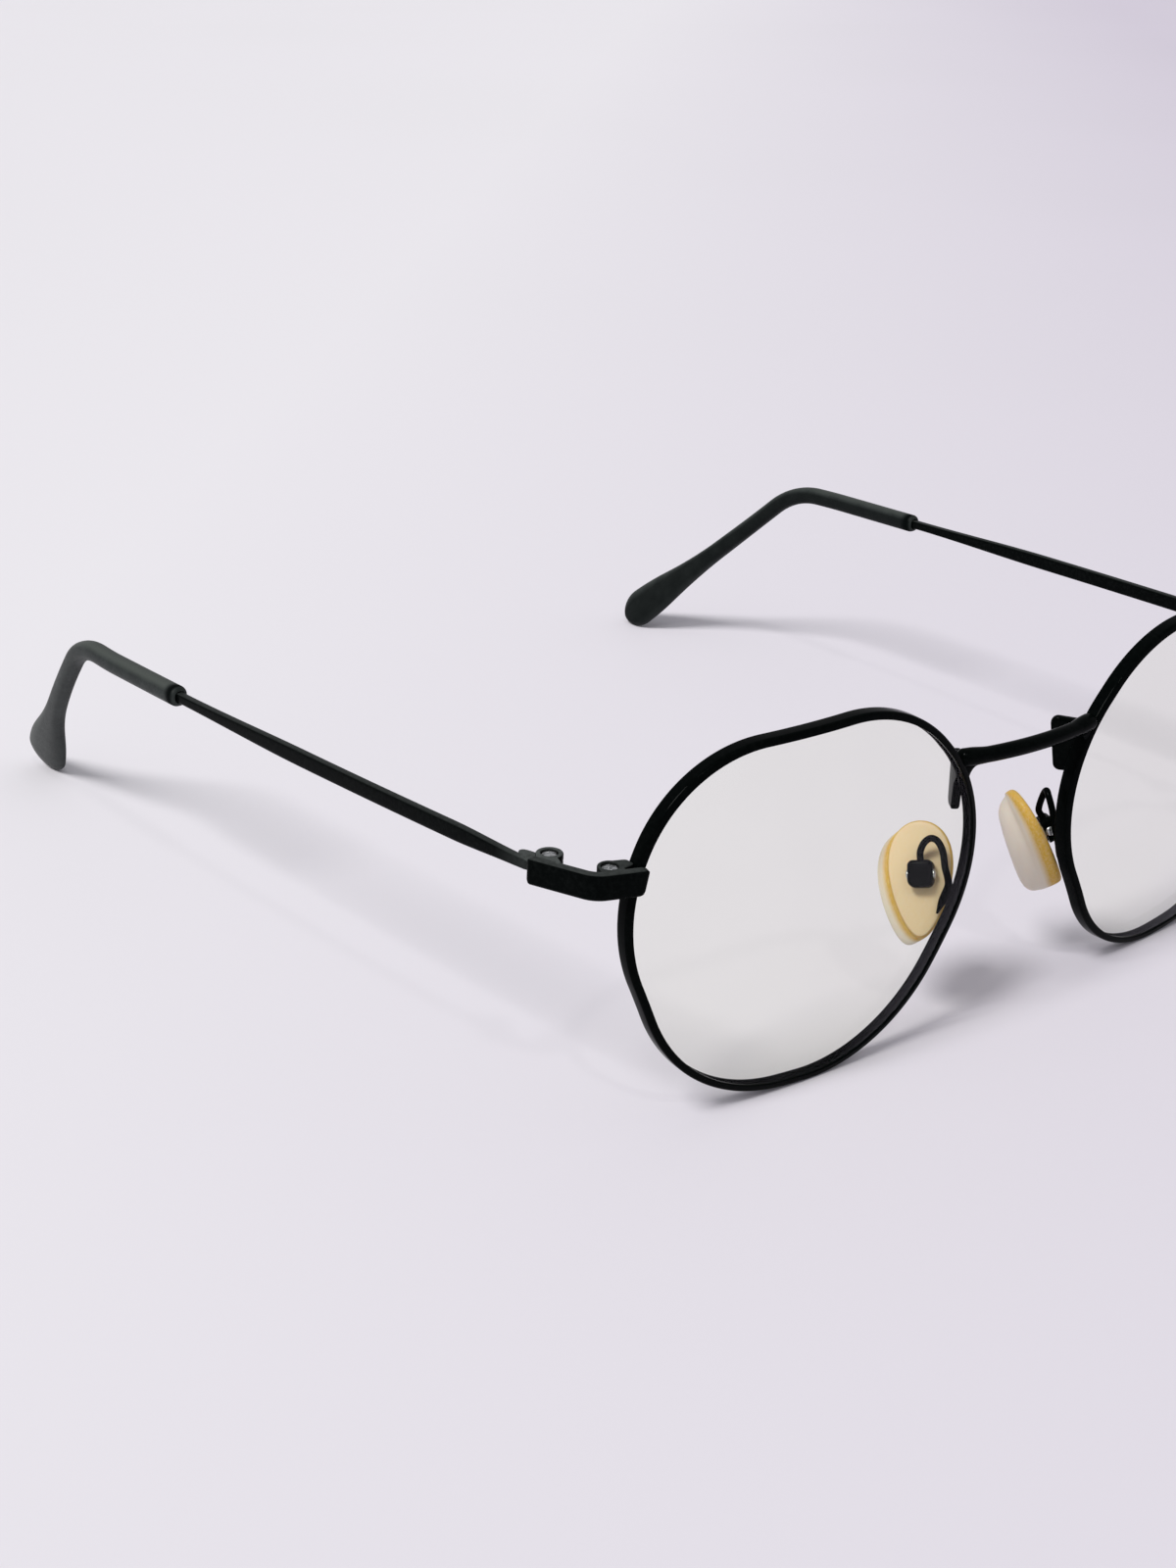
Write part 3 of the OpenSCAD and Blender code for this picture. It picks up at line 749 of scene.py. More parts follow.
def make_finishes() -> Finishes:
    """Makes all finishes of the eyeglasses.

    Returns:
        The materials by the slots that they fill.
    """
    gloss = Lacquer("gloss lacquer").make()
    satin = Lacquer("satin lacquer", scuffed=(0.0035, 0.0045, 0.0043), gloss=(0.34, 0.46), shine=0.02)
    temple = Lacquer("temple lacquer", scuffed=(0.004, 0.005, 0.0048), gloss=(0.2, 0.3), shine=0.022)
    others = {
        Slot.SATIN: satin, Slot.TEMPLE: temple, Slot.STEEL: ScrewSteel(), Slot.LENS: ClearLens(),
        Slot.SILICONE: Silicone(), Slot.CORE: PadCore(), Slot.RUBBER: TipRubber(),
    }
    return {Slot.RIM: gloss, Slot.WIRE: gloss} | {slot: finish.make() for slot, finish in others.items()}


def dress(obj: bpy.types.Object, finishes: Finishes, slot: Slot, body: str, *nodes: str) -> None:
    """Gives a piece the finish of its slot and its body, hides the plain solids that it stands for, and
    reports it.

    Args:
        obj: the piece.
        finishes: all finishes.
        slot: slot of the piece's finish.
        body: body that it rides on.
        *nodes: plain solids that it stands for.
    """
    obj.data.materials.append(finishes[slot])
    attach(obj, body)
    if nodes:
        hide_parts(*nodes)
    LOG.info("%s: %d faces, finish %s, on %s", obj.name, len(obj.data.polygons), finishes[slot].name, body)


# The front


@dataclass
class FrontFrame:
    """Frames of reference and the rims' split, which the front's pieces share."""

    centre_distance: float = 70
    lens_height: float = 24.1
    lean: float = 1.8
    wrap: float = 4.7
    front_offset: float = 73.63
    split: float = 9.025
    split_gap: float = 0.14

    def front(self) -> Place:
        """Leaning frame of the front, midway between the lens centres."""
        return Place(turn(Axis.X, self.lean), np.array([0, -self.front_offset, self.lens_height]))

    def endpiece(self) -> Place:
        """Frame of the endpiece, measured from the lens centre."""
        return moved(self.centre_distance / 2, 0, 0).within(self.front())

    def lens(self) -> Place:
        """Frame of one lens, with Y along its axis."""
        return Place(turn(Axis.Z, self.wrap), np.zeros(3)).within(self.endpiece())


@dataclass
class Assembly:
    """What the sub-assemblies of one side share."""

    side: Side
    finishes: Finishes
    frame: FrontFrame

    def dress(
        self, shell: Shell, name: str, crease: float, slot: Slot, node: str = "", body: Body = Body.FRONT
    ) -> None:
        """Makes a piece of a shell and dresses it. Names are given without their side.

        Args:
            shell: the piece's surface.
            name: name of the piece.
            crease: angle in degrees from which an edge stays sharp.
            slot: slot of its finish.
            node: plain solid that it stands for, if there is one.
            body: body that it rides on.
        """
        end = f"_{self.side.value}"
        nodes = [node + end] if node else []
        dress(shell.mesh(name + end, self.side, crease), self.finishes, slot, body.on(self.side), *nodes)


@dataclass
class Outline:
    """The lens outline: a hexagon with large round corners, seen from the front."""

    corners: tuple[Pair, ...] = (
        (19.1, 21.15), (-12.85, 22), (-29.95, 4.2), (-13.95, -24.1), (16.1, -22), (26.55, 3.15),
    )
    radii: tuple[float, ...] = (16.9, 20.5, 19.3, 19.5, 22.7, 19.6)
    samples: int = 420
    nose_corner: int = 2

    def trace(self, split: float, gap: float) -> tuple[Array, Array]:
        """Points round the outline from one lip of the split to the other, with their outward normals.

        The rounded hexagon is walked at an even pace: its points are looked up at equal steps of length.

        Args:
            split: height of the split on the temple side.
            gap: width of the split.

        Returns:
            Points and normals, each samples by 2.
        """
        ring = rounded_polygon(np.array(self.corners), self.radii, 60)
        ring = np.vstack([ring, ring[:1]])
        length, rising = walked(ring), ring[:, 1] - split
        crossing = np.nonzero((rising[:-1] * rising[1:] <= 0) & (ring[:-1, 0] > 0))[0][0]
        share = rising[crossing] / (rising[crossing] - rising[crossing + 1])
        start = length[crossing] + share * (length[crossing + 1] - length[crossing])
        s = (start + np.linspace(gap / 2, length[-1] - gap / 2, self.samples)) % length[-1]
        points = np.column_stack([np.interp(s, length, ring[:, i]) for i in (0, 1)])
        along = unit(np.gradient(points, axis=0))
        normal = np.column_stack([along[:, 1], -along[:, 0]])
        return points, normal * np.sign((normal * points).sum(-1).mean())

    def beside_nose(self, height: Array | float, out: float) -> Array:
        """Distance along x to the round corner beside the nose, at a height and some way outside it.

        The corner is an arc, so x = its middle - root of (radius squared - rise squared).

        Args:
            height: height over the lens centre.
            out: distance outside the outline.

        Returns:
            The distances, below 0 on the nose side.
        """
        c, i = np.array(self.corners), self.nose_corner
        before, after = unit(c[i - 1] - c[i]), unit(c[i + 1] - c[i])
        half = 0.5 * np.arccos((before * after).sum())
        x, z = c[i] + unit(before + after) * self.radii[i] / np.sin(half)
        return x - np.sqrt((self.radii[i] + out) ** 2 - (height - z) ** 2)


@dataclass
class Eyewire(Assembly):
    """One rim with its lens, both curved as one sphere, and the plate that carries the bridge."""

    outline: Outline
    base_radius: float = 91
    width: float = 0.95
    depth: float = 1.75
    groove_depth: float = 0.4
    groove_width: float = 0.8
    lens_thickness: float = 1.4
    play: float = 0.04
    plate_edge: Pair = (-25.7, 8.6)
    plate_heading: float = -59
    plate_top: float = 12.6
    plate_height: float = 7.2
    plate_thickness: float = 1.1
    plate_slant: float = 1.2
    plate_corner: float = 0.9

    def curved(self, flat: Array, depth: Array | float) -> Array:
        """Points behind the front's sphere: y = R - root of ((R - depth)**2 - x**2 - z**2)."""
        far = np.sqrt((self.base_radius - depth) ** 2 - (flat**2).sum(-1))
        return np.stack([flat[..., 0], self.base_radius - far, flat[..., 1]], -1)

    def eyewire(self) -> None:
        """The rim: a section with rounded edges and a groove for the lens, carried round the outline."""
        points, normal = self.outline.trace(self.frame.split, self.frame.split_gap)
        w, d, g = self.width, self.depth, self.groove_depth
        low, high = (d - self.groove_width) / 2, (d + self.groove_width) / 2
        corners = np.array([(0, low), (0, 0), (w, 0), (w, d), (0, d), (0, high), (g, high), (g, low)])
        grow, depth = rounded_polygon(corners, [0.05, 0.16, 0.26, 0.3, 0.18, 0.05, 0.05, 0.05], 6).T
        grid = self.curved(points[:, None] + normal[:, None] * grow[:, None], depth)
        self.dress(Shell().add(self.frame.lens().put(grid)), "eyewire", 40, Slot.RIM, "rim")

    def clear_lens(self) -> None:
        """The lens: rings from its front centre, over the bevelled edge, to its back centre."""
        points, normal = (row[:-1] for row in self.outline.trace(self.frame.split, 0))
        half, ridge = self.lens_thickness / 2, self.groove_width / 2 - self.play
        share, face = np.linspace(0.01, 1, 16), np.ones(16)
        scale = np.concatenate([share, [1, 1], share[::-1]])[:, None, None]
        grow = np.concatenate([0 * face, [self.groove_depth] * 2, 0 * face])[:, None, None] - self.play
        depth = self.depth / 2 + np.concatenate([-half * face, [-ridge, ridge], half * face])[:, None]
        grid = self.curved((points + normal * grow) * scale, depth)
        self.dress(Shell().add(self.frame.lens().put(grid)), "clear_lens", 25, Slot.LENS, "lens")

    def bridge_plate(self) -> None:
        """The upright plate behind the bridge's end, rounded at its free edge, which runs in to the rim.

        The rim end of a row lies where the plate's line meets the rim's wall. The plate is a stack of
        outlines, each drawn in towards the middle by the root of 1 - t to the sixth.
        """
        rows, into_rim, closest, farthest, draw = 9, 0.35, 3.1, 4.7, 0.16
        edge, (along, across) = np.array(self.plate_edge), polar(self.plate_heading + np.array([0, 90]))
        top, low = self.plate_top, self.plate_top - self.plate_height
        z = np.linspace(low + 0.1, top - 0.1, rows)
        end = (self.outline.beside_nose(z, into_rim) - edge[0]) / along[0]
        end = np.column_stack([np.clip(end, closest, farthest), z])
        corners = np.vstack([[[0, top], [self.plate_slant, low]], end])
        outline = rounded_polygon(corners, [self.plate_corner, self.plate_corner] + rows * [0.02], 8)
        heart = np.array([outline[:, 0].mean() + 0.5, (top + low) / 2])
        t = np.sin(np.linspace(-1, 1, 11) * QUARTER_TURN)
        flat = drawn_in(outline, heart, 1 - draw * (1 - round_end(np.abs(t) ** 3, 0)))
        plan = edge + flat[..., :1] * along + (t * self.plate_thickness / 2)[:, None, None] * across
        shell = Shell().add(self.frame.lens().put(np.dstack([plan, flat[..., 1]])))
        self.dress(shell, "bridge_plate", 50, Slot.RIM, "bridge_lug")


@dataclass
class Bridge:
    """The bent wire between the rims, thicker where it is soldered on, and the webs of solder."""

    finishes: Finishes
    frame: FrontFrame
    diameter: float = 2.1
    radius: float = 58
    rise: float = 12.5
    set_back: float = 1.5
    half_span: float = 12.3
    tilt: float = 1.8

    def bridge_wire(self) -> None:
        """The wire: a circle carried along an arc, with a bulb at each end where it was pressed."""
        reach = np.arcsin(self.half_span / self.radius)
        a = np.linspace(-reach, reach, 141)
        t = np.abs(a) / reach
        arc = np.column_stack([self.radius * np.sin(a), -self.radius * np.cos(a), ease(0, 0.1, t, 0.6, 0.9)])
        swell = 0.95 + 0.14 * ease(0, 1, t, 0.62, 0.86)
        radius = self.diameter / 2 * swell * round_end((t - 0.93) / 0.07, 0.02)
        grid = wire(arc, radius, np.array([0, 0, 1]), 32)
        lay = Place(turn(Axis.Y, self.tilt), np.array([0, self.radius + self.set_back, self.rise]))
        obj = Shell().add(lay.within(self.frame.front()).put(grid)).mesh("bridge_wire", Side.LEFT, 40)
        dress(obj, self.finishes, Slot.RIM, Body.FRONT.value, "bridge")

    def solder_web(self, side: Side) -> None:
        """The hollow solder web in the corner under the wire's end, with rounded faces.

        Its hollow edge is an arc from the wire down to the rim: corner + (sin a, cos a - 1) * size.

        Args:
            side: the wearer's side.
        """
        drop = np.sin(np.radians(self.tilt)) * self.half_span * side.sign
        a = np.linspace(0, QUARTER_TURN, 12)
        hollow = np.column_stack([8.9 + 1.9 * np.sin(a), 11.5 - 2.2 * (1 - np.cos(a))])
        outline = np.vstack([hollow, [[11.3, 9.4], [12.1, 11.4], [12.2, 12.2], [9.4, 12.1]]])
        # How far back each outline lies, and its share of the full size.
        y, size = np.array([
            (1.9, 0.3), (1.93, 0.72), (2.05, 0.9), (2.3, 1), (3.1, 1), (3.35, 0.9), (3.47, 0.72), (3.5, 0.3),
        ]).T
        flat = drawn_in(outline, np.array([11.3, 11.2]), size)
        grid = np.stack([flat[..., 0], y[:, None] + 0 * flat[..., 0], flat[..., 1] - drop], -1)
        obj = Shell().add(self.frame.front().put(grid)).mesh(f"solder_web_{side.value}", side, 60)
        dress(obj, self.finishes, Slot.RIM, Body.FRONT.value)


@dataclass
class PadMount(Assembly):
    """A nose pad on its looped arm: wire, box, screw, insert and pad."""

    outline: Outline
    rim: Eyewire
    arm: float = 0.85
    seats: Triple = (-8.2, -6.3, -4.6)
    loop_lift: float = 0.35
    box: Triple = (1.7, 3.2, 3.4)
    box_centre: Pair = (-0.4, 0.4)
    box_bend: float = 0.5
    wall: float = 0.4
    gap: float = 0.65
    screw: float = 0.8
    screw_head: float = 0.62
    insert_height: float = 1.5
    half_length: float = 7.3
    half_width: float = 3.9
    plate: float = 1.8
    crown: float = 1.3
    egg: float = 0.3
    crown_shift: Pair = (-2.1, -1.1)
    crown_tilt: float = 17
    crown_lean: float = 0.1
    rest_turns: Pair = (0, 0)
    centre: Triple = (11.1, 7.65, -5.23)
    turns: Triple = (-13.8, -30.4, -27.6)
    foot_grow: float = -0.1

    def in_front(self) -> Place:
        """Frame of the pad within the front's: X out to the rim, Z up along the pad."""
        x, y, z = (turn(axis, angle) for axis, angle in zip(Axis, self.turns))
        return Place(z @ y @ x, np.array(self.centre))

    def place(self) -> Place:
        """Frame of the pad."""
        return self.in_front().within(self.frame.front())

    def seat(self, height: float) -> Array:
        """Middle of the arm's wire where it lies on the back of the rim.

        Args:
            height: height over the lens centre.

        Returns:
            The point in the frame of the front.
        """
        flat = np.array([self.outline.beside_nose(height, self.foot_grow), height])
        x, y, z = self.rim.curved(flat, self.rim.depth)
        lens = Place(turn(Axis.Z, self.frame.wrap), np.array([self.frame.centre_distance / 2, 0, 0]))
        return lens.put(np.array([x, y + self.arm / 2 + 0.05, z]))

    def over_box(self, height: float) -> Array:
        """Point over the middle of the box's top.

        Args:
            height: height over the box.

        Returns:
            The point in the frame of the front.
        """
        across, up = self.box_centre
        point = [self.gap + self.box[0] / 2, across, up + self.box[2] / 2 + height]
        return self.in_front().put(np.array(point))

    def arm_wire(self) -> None:
        """The arm: a wire up the rim's back, over in a loop and onto the box, with a thick, tapered foot."""
        # Knots of the loop: a point, and its share of the loop's lift.
        x, y, z, share = np.array([
            (10.2, 4.6, -2.7, 0), (10.1, 5.3, -1.05, 0.4), (10.2, 6.2, -0.1, 0.8),
            (10.6, 7, 0.05, 1), (10.9, 7.7, -0.6, 0.7),
        ]).T
        loop = np.column_stack([x, y, z + share * self.loop_lift])
        foot, end = [self.seat(height) for height in self.seats], [self.over_box(1.08), self.over_box(0.02)]
        curve = spline(np.vstack([foot, loop, end]), 14)
        t = np.linspace(0, 1, len(curve))
        size = self.arm / 2 * (ease(0.35, 1.2, t, 0, 0.1) - 0.18 * ease(0, 1, t, 0.16, 0.3))
        shell = Shell().add(self.frame.front().put(wire(curve, size, np.array([1, 0, 0]), 20)))
        self.dress(shell, "arm_wire", 40, Slot.WIRE, "pad_arm")

    def pad_case(self) -> None:
        """The box: rounded sections from its open mouth inside, round the lip and over the closed back."""
        depth, width, height = self.box
        wall, bend = self.wall, self.box_bend
        # How far back each section lies, and how far inside the box's outer walls.
        rows = [(depth - wall, wall + 0.25), (depth - wall - 0.15, wall), (0.06, wall)]
        rows += [(0, wall - 0.08), (0, 0.08), (0.05, 0)]
        angles = np.linspace(0, QUARTER_TURN, 6)
        rows += [(depth - bend + bend * np.sin(a), bend - bend * np.cos(a)) for a in angles]
        rows += [(depth, 1.0)]
        grid = []
        for x, inset in rows:
            radii = np.array([0.95, 0.95, 0.7, 0.7]) * max(0.3, 1 - inset / 1.2)
            flat = rounded_box(width / 2 - inset, height / 2 - inset, radii, 7) + self.box_centre
            grid.append(np.column_stack([np.full(len(flat), self.gap + x), flat]))
        self.dress(Shell().add(self.place().put(np.array(grid))), "pad_case", 50, Slot.WIRE, "pad_box")

    def pad_pin(self) -> None:
        """The pad screw: a turned pin across the box, with a low domed head at each end."""
        half, head = self.box[1] / 2, self.screw_head
        t = np.linspace(0.05, 1, 6) * QUARTER_TURN
        profile = [(head * np.sin(x), half + 0.06 + 0.2 * np.cos(x)) for x in t]
        profile += [(head, half), (self.screw / 2, half - 0.02)]
        profile += [(r, -h) for r, h in reversed(profile)]
        lay = Place(turn(Axis.X, -90), np.array([self.gap + self.box[0] / 2 - 0.2, *self.box_centre]))
        shell = Shell().add(lay.within(self.place()).put(turned(profile, 24)))
        self.dress(shell, "pad_pin", 40, Slot.STEEL, "pad_screw")

    def pad_insert(self) -> None:
        """The insert: a rounded bar from inside the pad into the box."""
        clear = 0.3
        tongue = self.gap + self.box[0] - self.wall - clear
        half_width = (self.box[1] - 2 * self.wall - clear) / 2
        outline = rounded_box(half_width, self.insert_height / 2, np.full(4, 0.25), 6)
        x, size = np.array([(-1, 0.8), (-0.92, 1), (0.5, 1), (tongue - 0.12, 1), (tongue, 0.85)]).T
        flat = drawn_in(outline, np.zeros(2), size) + self.box_centre
        shell = Shell().add(self.place().put(np.dstack([x[:, None] + 0 * flat[..., 0], flat])))
        self.dress(shell, "pad_insert", 40, Slot.CORE, "pad_core", Body.PAD)

    def soft_pad(self) -> None:
        """The pad: egg-shaped rings from its flat back, round its edge, to the crown that lies on the nose.

        Rings are blended between a few named ones by a smooth curve. Each is y = sin a * width * (1 + egg
        * cos a), z = cos a * length, then tilted, leant and shifted as the crown is. The tone attribute
        runs from 0 on the crown, over 1 at the edge, to 2 on the back.
        """
        w, l, p, c = self.half_width, self.half_length, self.plate, self.crown
        keys = np.array([
            # x, half width, half length, share of the crown's shift, tone
            [-0.01, 0.06, 0.1, 0, 2.0],
            [0.0, w * 0.5, l * 0.5, 0, 2.0],
            [0.0, w - 0.62, l - 0.62, 0, 1.85],
            [-0.12, w - 0.16, l - 0.16, 0, 1.3],
            [-0.45, w, l, 0, 1.0],
            [-0.95, w, l, 0.05, 0.85],
            [-p + 0.35, w - 0.1, l - 0.1, 0.45, 0.55],
            [-p, w - 0.4, l - 0.3, 0.9, 0.3],
            [-p - 0.5 * c, w - 0.9, l - 0.9, 1.0, 0.12],
            [-p - 0.85 * c, w - 1.75, l - 2.1, 1.0, 0.0],
            [-p - c, w - 2.8, l - 4.2, 1.0, 0.0],
            [-p - c - 0.02, 0.06, 0.1, 1.0, 0.0],
        ])
        x, width, length, share, tone = spline(keys, 5).T[..., None]
        a, tilt = around(64), np.radians(self.crown_tilt * share)
        y, z = np.sin(a) * width * (1 + self.egg * np.cos(a)), np.cos(a) * length
        lean, (across, up) = self.crown_lean * share * np.clip(z, -9, 4), self.crown_shift
        x = x + y * np.sin(tilt) + lean
        grid = np.stack([x, y * np.cos(tilt) - across * share, z + up * share], -1)
        rest = turn(Axis.Z, self.rest_turns[1]) @ turn(Axis.X, self.rest_turns[0])
        shell = Shell().add(self.place().put(grid @ rest.T), tone)
        self.dress(shell, "soft_pad", 40, Slot.SILICONE, "nose_pad", Body.PAD)


@dataclass
class Endpiece(Assembly):
    """The bent plate from rim to hinge, with the closing barrel, its foot and the rim screw."""

    height: float = 3.25
    thickness: float = 1.1
    bend: float = 3.6
    rise: float = 10.65
    start: Pair = (24.0, 4.3)
    corner: Pair = (29.8, 6.3)
    end: Pair = (33.14, 14.12)
    axis: Pair = (26.7, 7.7)
    barrel: float = 2.8
    head: float = 2.0
    shank: float = 1.2
    bolt_turn: float = 20
    bolt_sunk: float = 0.22

    def route(self, offset: float) -> tuple[Array, Array]:
        """Plan of the plate's bend, at a distance inside its outer face.

        Two straight runs meet an arc. Its middle lies a radius square to the first run's end, which is
        the radius times the tangent of half the turn before the corner.

        Args:
            offset: distance inside the outer face.

        Returns:
            Points and their normals outwards.
        """
        first, round_bend, last = 25, 22, 35
        a, b, c = (np.array(p) for p in (self.start, self.corner, self.end))
        h1, h2 = heading(a, b), heading(b, c)
        middle = b - polar(h1) * self.bend * np.tan(np.radians(h2 - h1) / 2) + polar(h1 + 90) * self.bend
        angles = np.concatenate([np.full(first, h1), np.linspace(h1, h2, round_bend), np.full(last, h2)])
        outwards = polar(angles - 90)
        points = middle + outwards * self.bend
        points[:first] = a + (points[:first] - a) * np.linspace(0, 1, first + 1)[:-1, None]
        points[-last:] += (c - points[-last:]) * np.linspace(0, 1, last + 1)[1:, None]
        return points - outwards * offset, outwards

    def end_plate(self) -> None:
        """The plate: a rounded upright section along the bend, its rim end slanted and rounded off."""
        middle, outwards = self.route(self.thickness / 2)
        length, along = walked(middle), unit(np.gradient(middle, axis=0))
        w, h = self.thickness / 2, self.height / 2
        corners = np.array([(w, -h), (w, h), (-w, h), (-w, -h)])
        across, up = rounded_polygon(corners, [0.5, 0.22, 0.2, 0.3], 7).T
        rim_end, hinge_end = 1 - length / 0.8, 1 - (length[-1] - length) / 0.45
        full = np.minimum(round_end(rim_end, 0.02), round_end(hinge_end, 0.03))[:, None]
        slant = -0.22 * (up / h) * np.exp(-length / 2)[:, None]
        plan = middle[:, None] + outwards[:, None] * (across * (0.45 + 0.55 * full))[..., None]
        plan = plan + along[:, None] * slant[..., None]
        grid = np.dstack([plan, self.rise - h + up * (0.75 + 0.25 * full)])
        # The plate's top face gets a painted highlight.
        shell = Shell().add(self.frame.endpiece().put(grid), painted_top_highlight(grid, 0.45))
        self.dress(shell, "end_plate", 45, Slot.SATIN, "endpiece")

    def barrel_reach(self, to_plate: float) -> Array:
        """Reach of a barrel half round its axis: a cylinder with a foot to the rim and one to the plate.

        Args:
            to_plate: length of the foot to the plate.

        Returns:
            Distances from the axis, at even angles round a full turn.
        """
        r, to_rim = self.barrel / 2, 1.2
        angles = np.linspace(0, 360, 144, endpoint=False)
        foot = np.array([[0, r], [-r - to_rim, 0.2], [-r - to_rim, -0.8 * r], [0, -r]])
        along = heading(self.start, self.corner)
        x, y = polar(along), polar(along + 90)
        web = np.array([-r * x, -r * x - to_plate * y, r * x - to_plate * y, r * x])
        return softened(np.maximum(r, np.maximum(reach_of(foot, angles), reach_of(web, angles))), 3.5)

    def closing_barrel(self) -> None:
        """Both halves of the closing barrel, the upper one with a recess for the screw's head."""
        lay, edge = moved(*self.axis, 0).within(self.frame.endpiece()), 0.2
        split, half_gap = self.frame.split, self.frame.split_gap / 2
        upper = slab(self.barrel_reach(1.6), split + half_gap, self.rise - 0.05, edge, self.head / 2, 0.6)
        lower = slab(self.barrel_reach(0.9), self.rise - self.height + 0.2, split - half_gap, edge)
        # The upper half's top face gets a painted highlight.
        shell = Shell().add(lay.put(upper), painted_top_highlight(upper, 0.4))
        self.dress(shell, "closing_barrel", 35, Slot.SATIN)
        self.dress(Shell().add(lay.put(lower)), "closing_foot", 35, Slot.SATIN, "closing_block")

    def rim_bolt(self) -> None:
        """The rim screw, with a cross slot in its head."""
        lay = Place(turn(Axis.Z, self.bolt_turn), np.array([*self.axis, self.rise - self.bolt_sunk]))
        head, length = self.head / 2 - 0.06, self.height - 0.6
        grid = screw_shape(head, self.shank / 2, 0.45, length, 0.12, 0.13, Drive.CROSS)
        shell = Shell().add(lay.within(self.frame.endpiece()).put(grid))
        self.dress(shell, "rim_bolt", 30, Slot.STEEL, "rim_screw")


@dataclass
class Hinge(Assembly):
    """The hinge: two ears on the plate, the temple's knuckle between them and the screw through all."""

    endpiece: Endpiece
    axis: Pair = (30.02, 13.67)
    rise: float = 9.46
    knuckle: float = 3.1
    knuckle_height: float = 1.15
    ear_height: float = 0.92
    play: float = 0.05
    screw: float = 1.3
    head: float = 2.0
    side_step: float = 1.41
    bar: float = 1.1
    leaf_front: float = 0.55
    leaf_back: float = 4.2
    bar_start: float = 2.1
    bolt_turn: float = 62

    def place(self) -> Place:
        """Frame of the hinge: upright, on the axis, halfway up the knuckle."""
        f, (x, y) = self.frame, self.axis
        return moved(f.centre_distance / 2 + x, y - f.front_offset, f.lens_height + self.rise)

    def ear_ends(self) -> Pair:
        """Heights of an ear's inner and outer face over the middle of the knuckle."""
        inner = self.knuckle_height / 2 + self.play
        return inner, inner + self.ear_height

    def reach(self, web: Array, width: float, less: float = 0) -> Array:
        """Reach of the knuckle's circle together with a web, filleted.

        Args:
            web: corners of the web round the axis.
            width: width of the filleting bell in degrees.
            less: how much smaller the circle is than the knuckle.

        Returns:
            Distances from the axis, at even angles round a full turn.
        """
        angles = np.linspace(0, 360, 180, endpoint=False)
        return softened(np.maximum(self.knuckle / 2 - less, reach_of(web, angles)), width)

    def hinge_ears(self) -> None:
        """Both ears, each with a web that ends inside the plate, the upper one with the screw's recess."""
        r, end, edge, inside_plate = self.knuckle / 2, -3.1, 0.2, 0.35
        wall = (self.endpiece.route(inside_plate)[0] - self.axis)[30:-6]
        hollow = [[-0.17 * r, -0.98 * r], [0.2, -1.65], [0.4, -2.1], [0.5, -2.6], [0.55, end]]
        reach = self.reach(np.vstack([hollow, wall[wall[:, 1] > end], [[r * 0.6, 1.2]]]), 2.2)
        inner, outer = self.ear_ends()
        upper = slab(reach, inner, outer, edge, self.head / 2, 0.32)
        lower = slab(reach, -outer, -inner, edge)
        # The upper ear's top face gets a painted highlight.
        shell = Shell().add(self.place().put(upper), painted_top_highlight(upper, 0.85)).add(self.place().put(lower))
        self.dress(shell, "hinge_ears", 35, Slot.SATIN, "hinge_front")

    def temple_knuckle(self) -> None:
        """The temple's knuckle with the leaf that carries the bar, toned lighter grey all over."""
        r, x = self.knuckle / 2, self.side_step - self.bar / 2
        leaf = np.array([
            [0, r], [-r * 0.2, r * 0.98], [x - 0.5, self.leaf_back], [x + 0.25, self.leaf_back],
            [x + self.bar, self.bar_start + 0.4], [x + self.bar, self.leaf_front], [r * 0.9, 0],
        ])
        half = self.knuckle_height / 2
        shell = Shell().add(self.place().put(slab(self.reach(leaf, 2.6, 0.02), -half, half, 0.12)), 0.7)
        self.dress(shell, "temple_knuckle", 35, Slot.SATIN, "hinge_temple", Body.TEMPLE)

    def hinge_bolt(self) -> None:
        """The hinge screw, with a shiny domed and slotted head in the ear's recess."""
        top = self.ear_ends()[1]
        lay = Place(turn(Axis.Z, self.bolt_turn * self.side.sign), np.array([0, 0, top - 0.06]))
        head, length = self.head / 2 - 0.07, 2 * top - 0.2
        grid = screw_shape(head, self.screw / 2, 0.35, length, 0.22, 0.16, Drive.STRAIGHT)
        shell = Shell().add(lay.within(self.place()).put(grid))
        self.dress(shell, "hinge_bolt", 30, Slot.STEEL, "hinge_screw")


# The temples


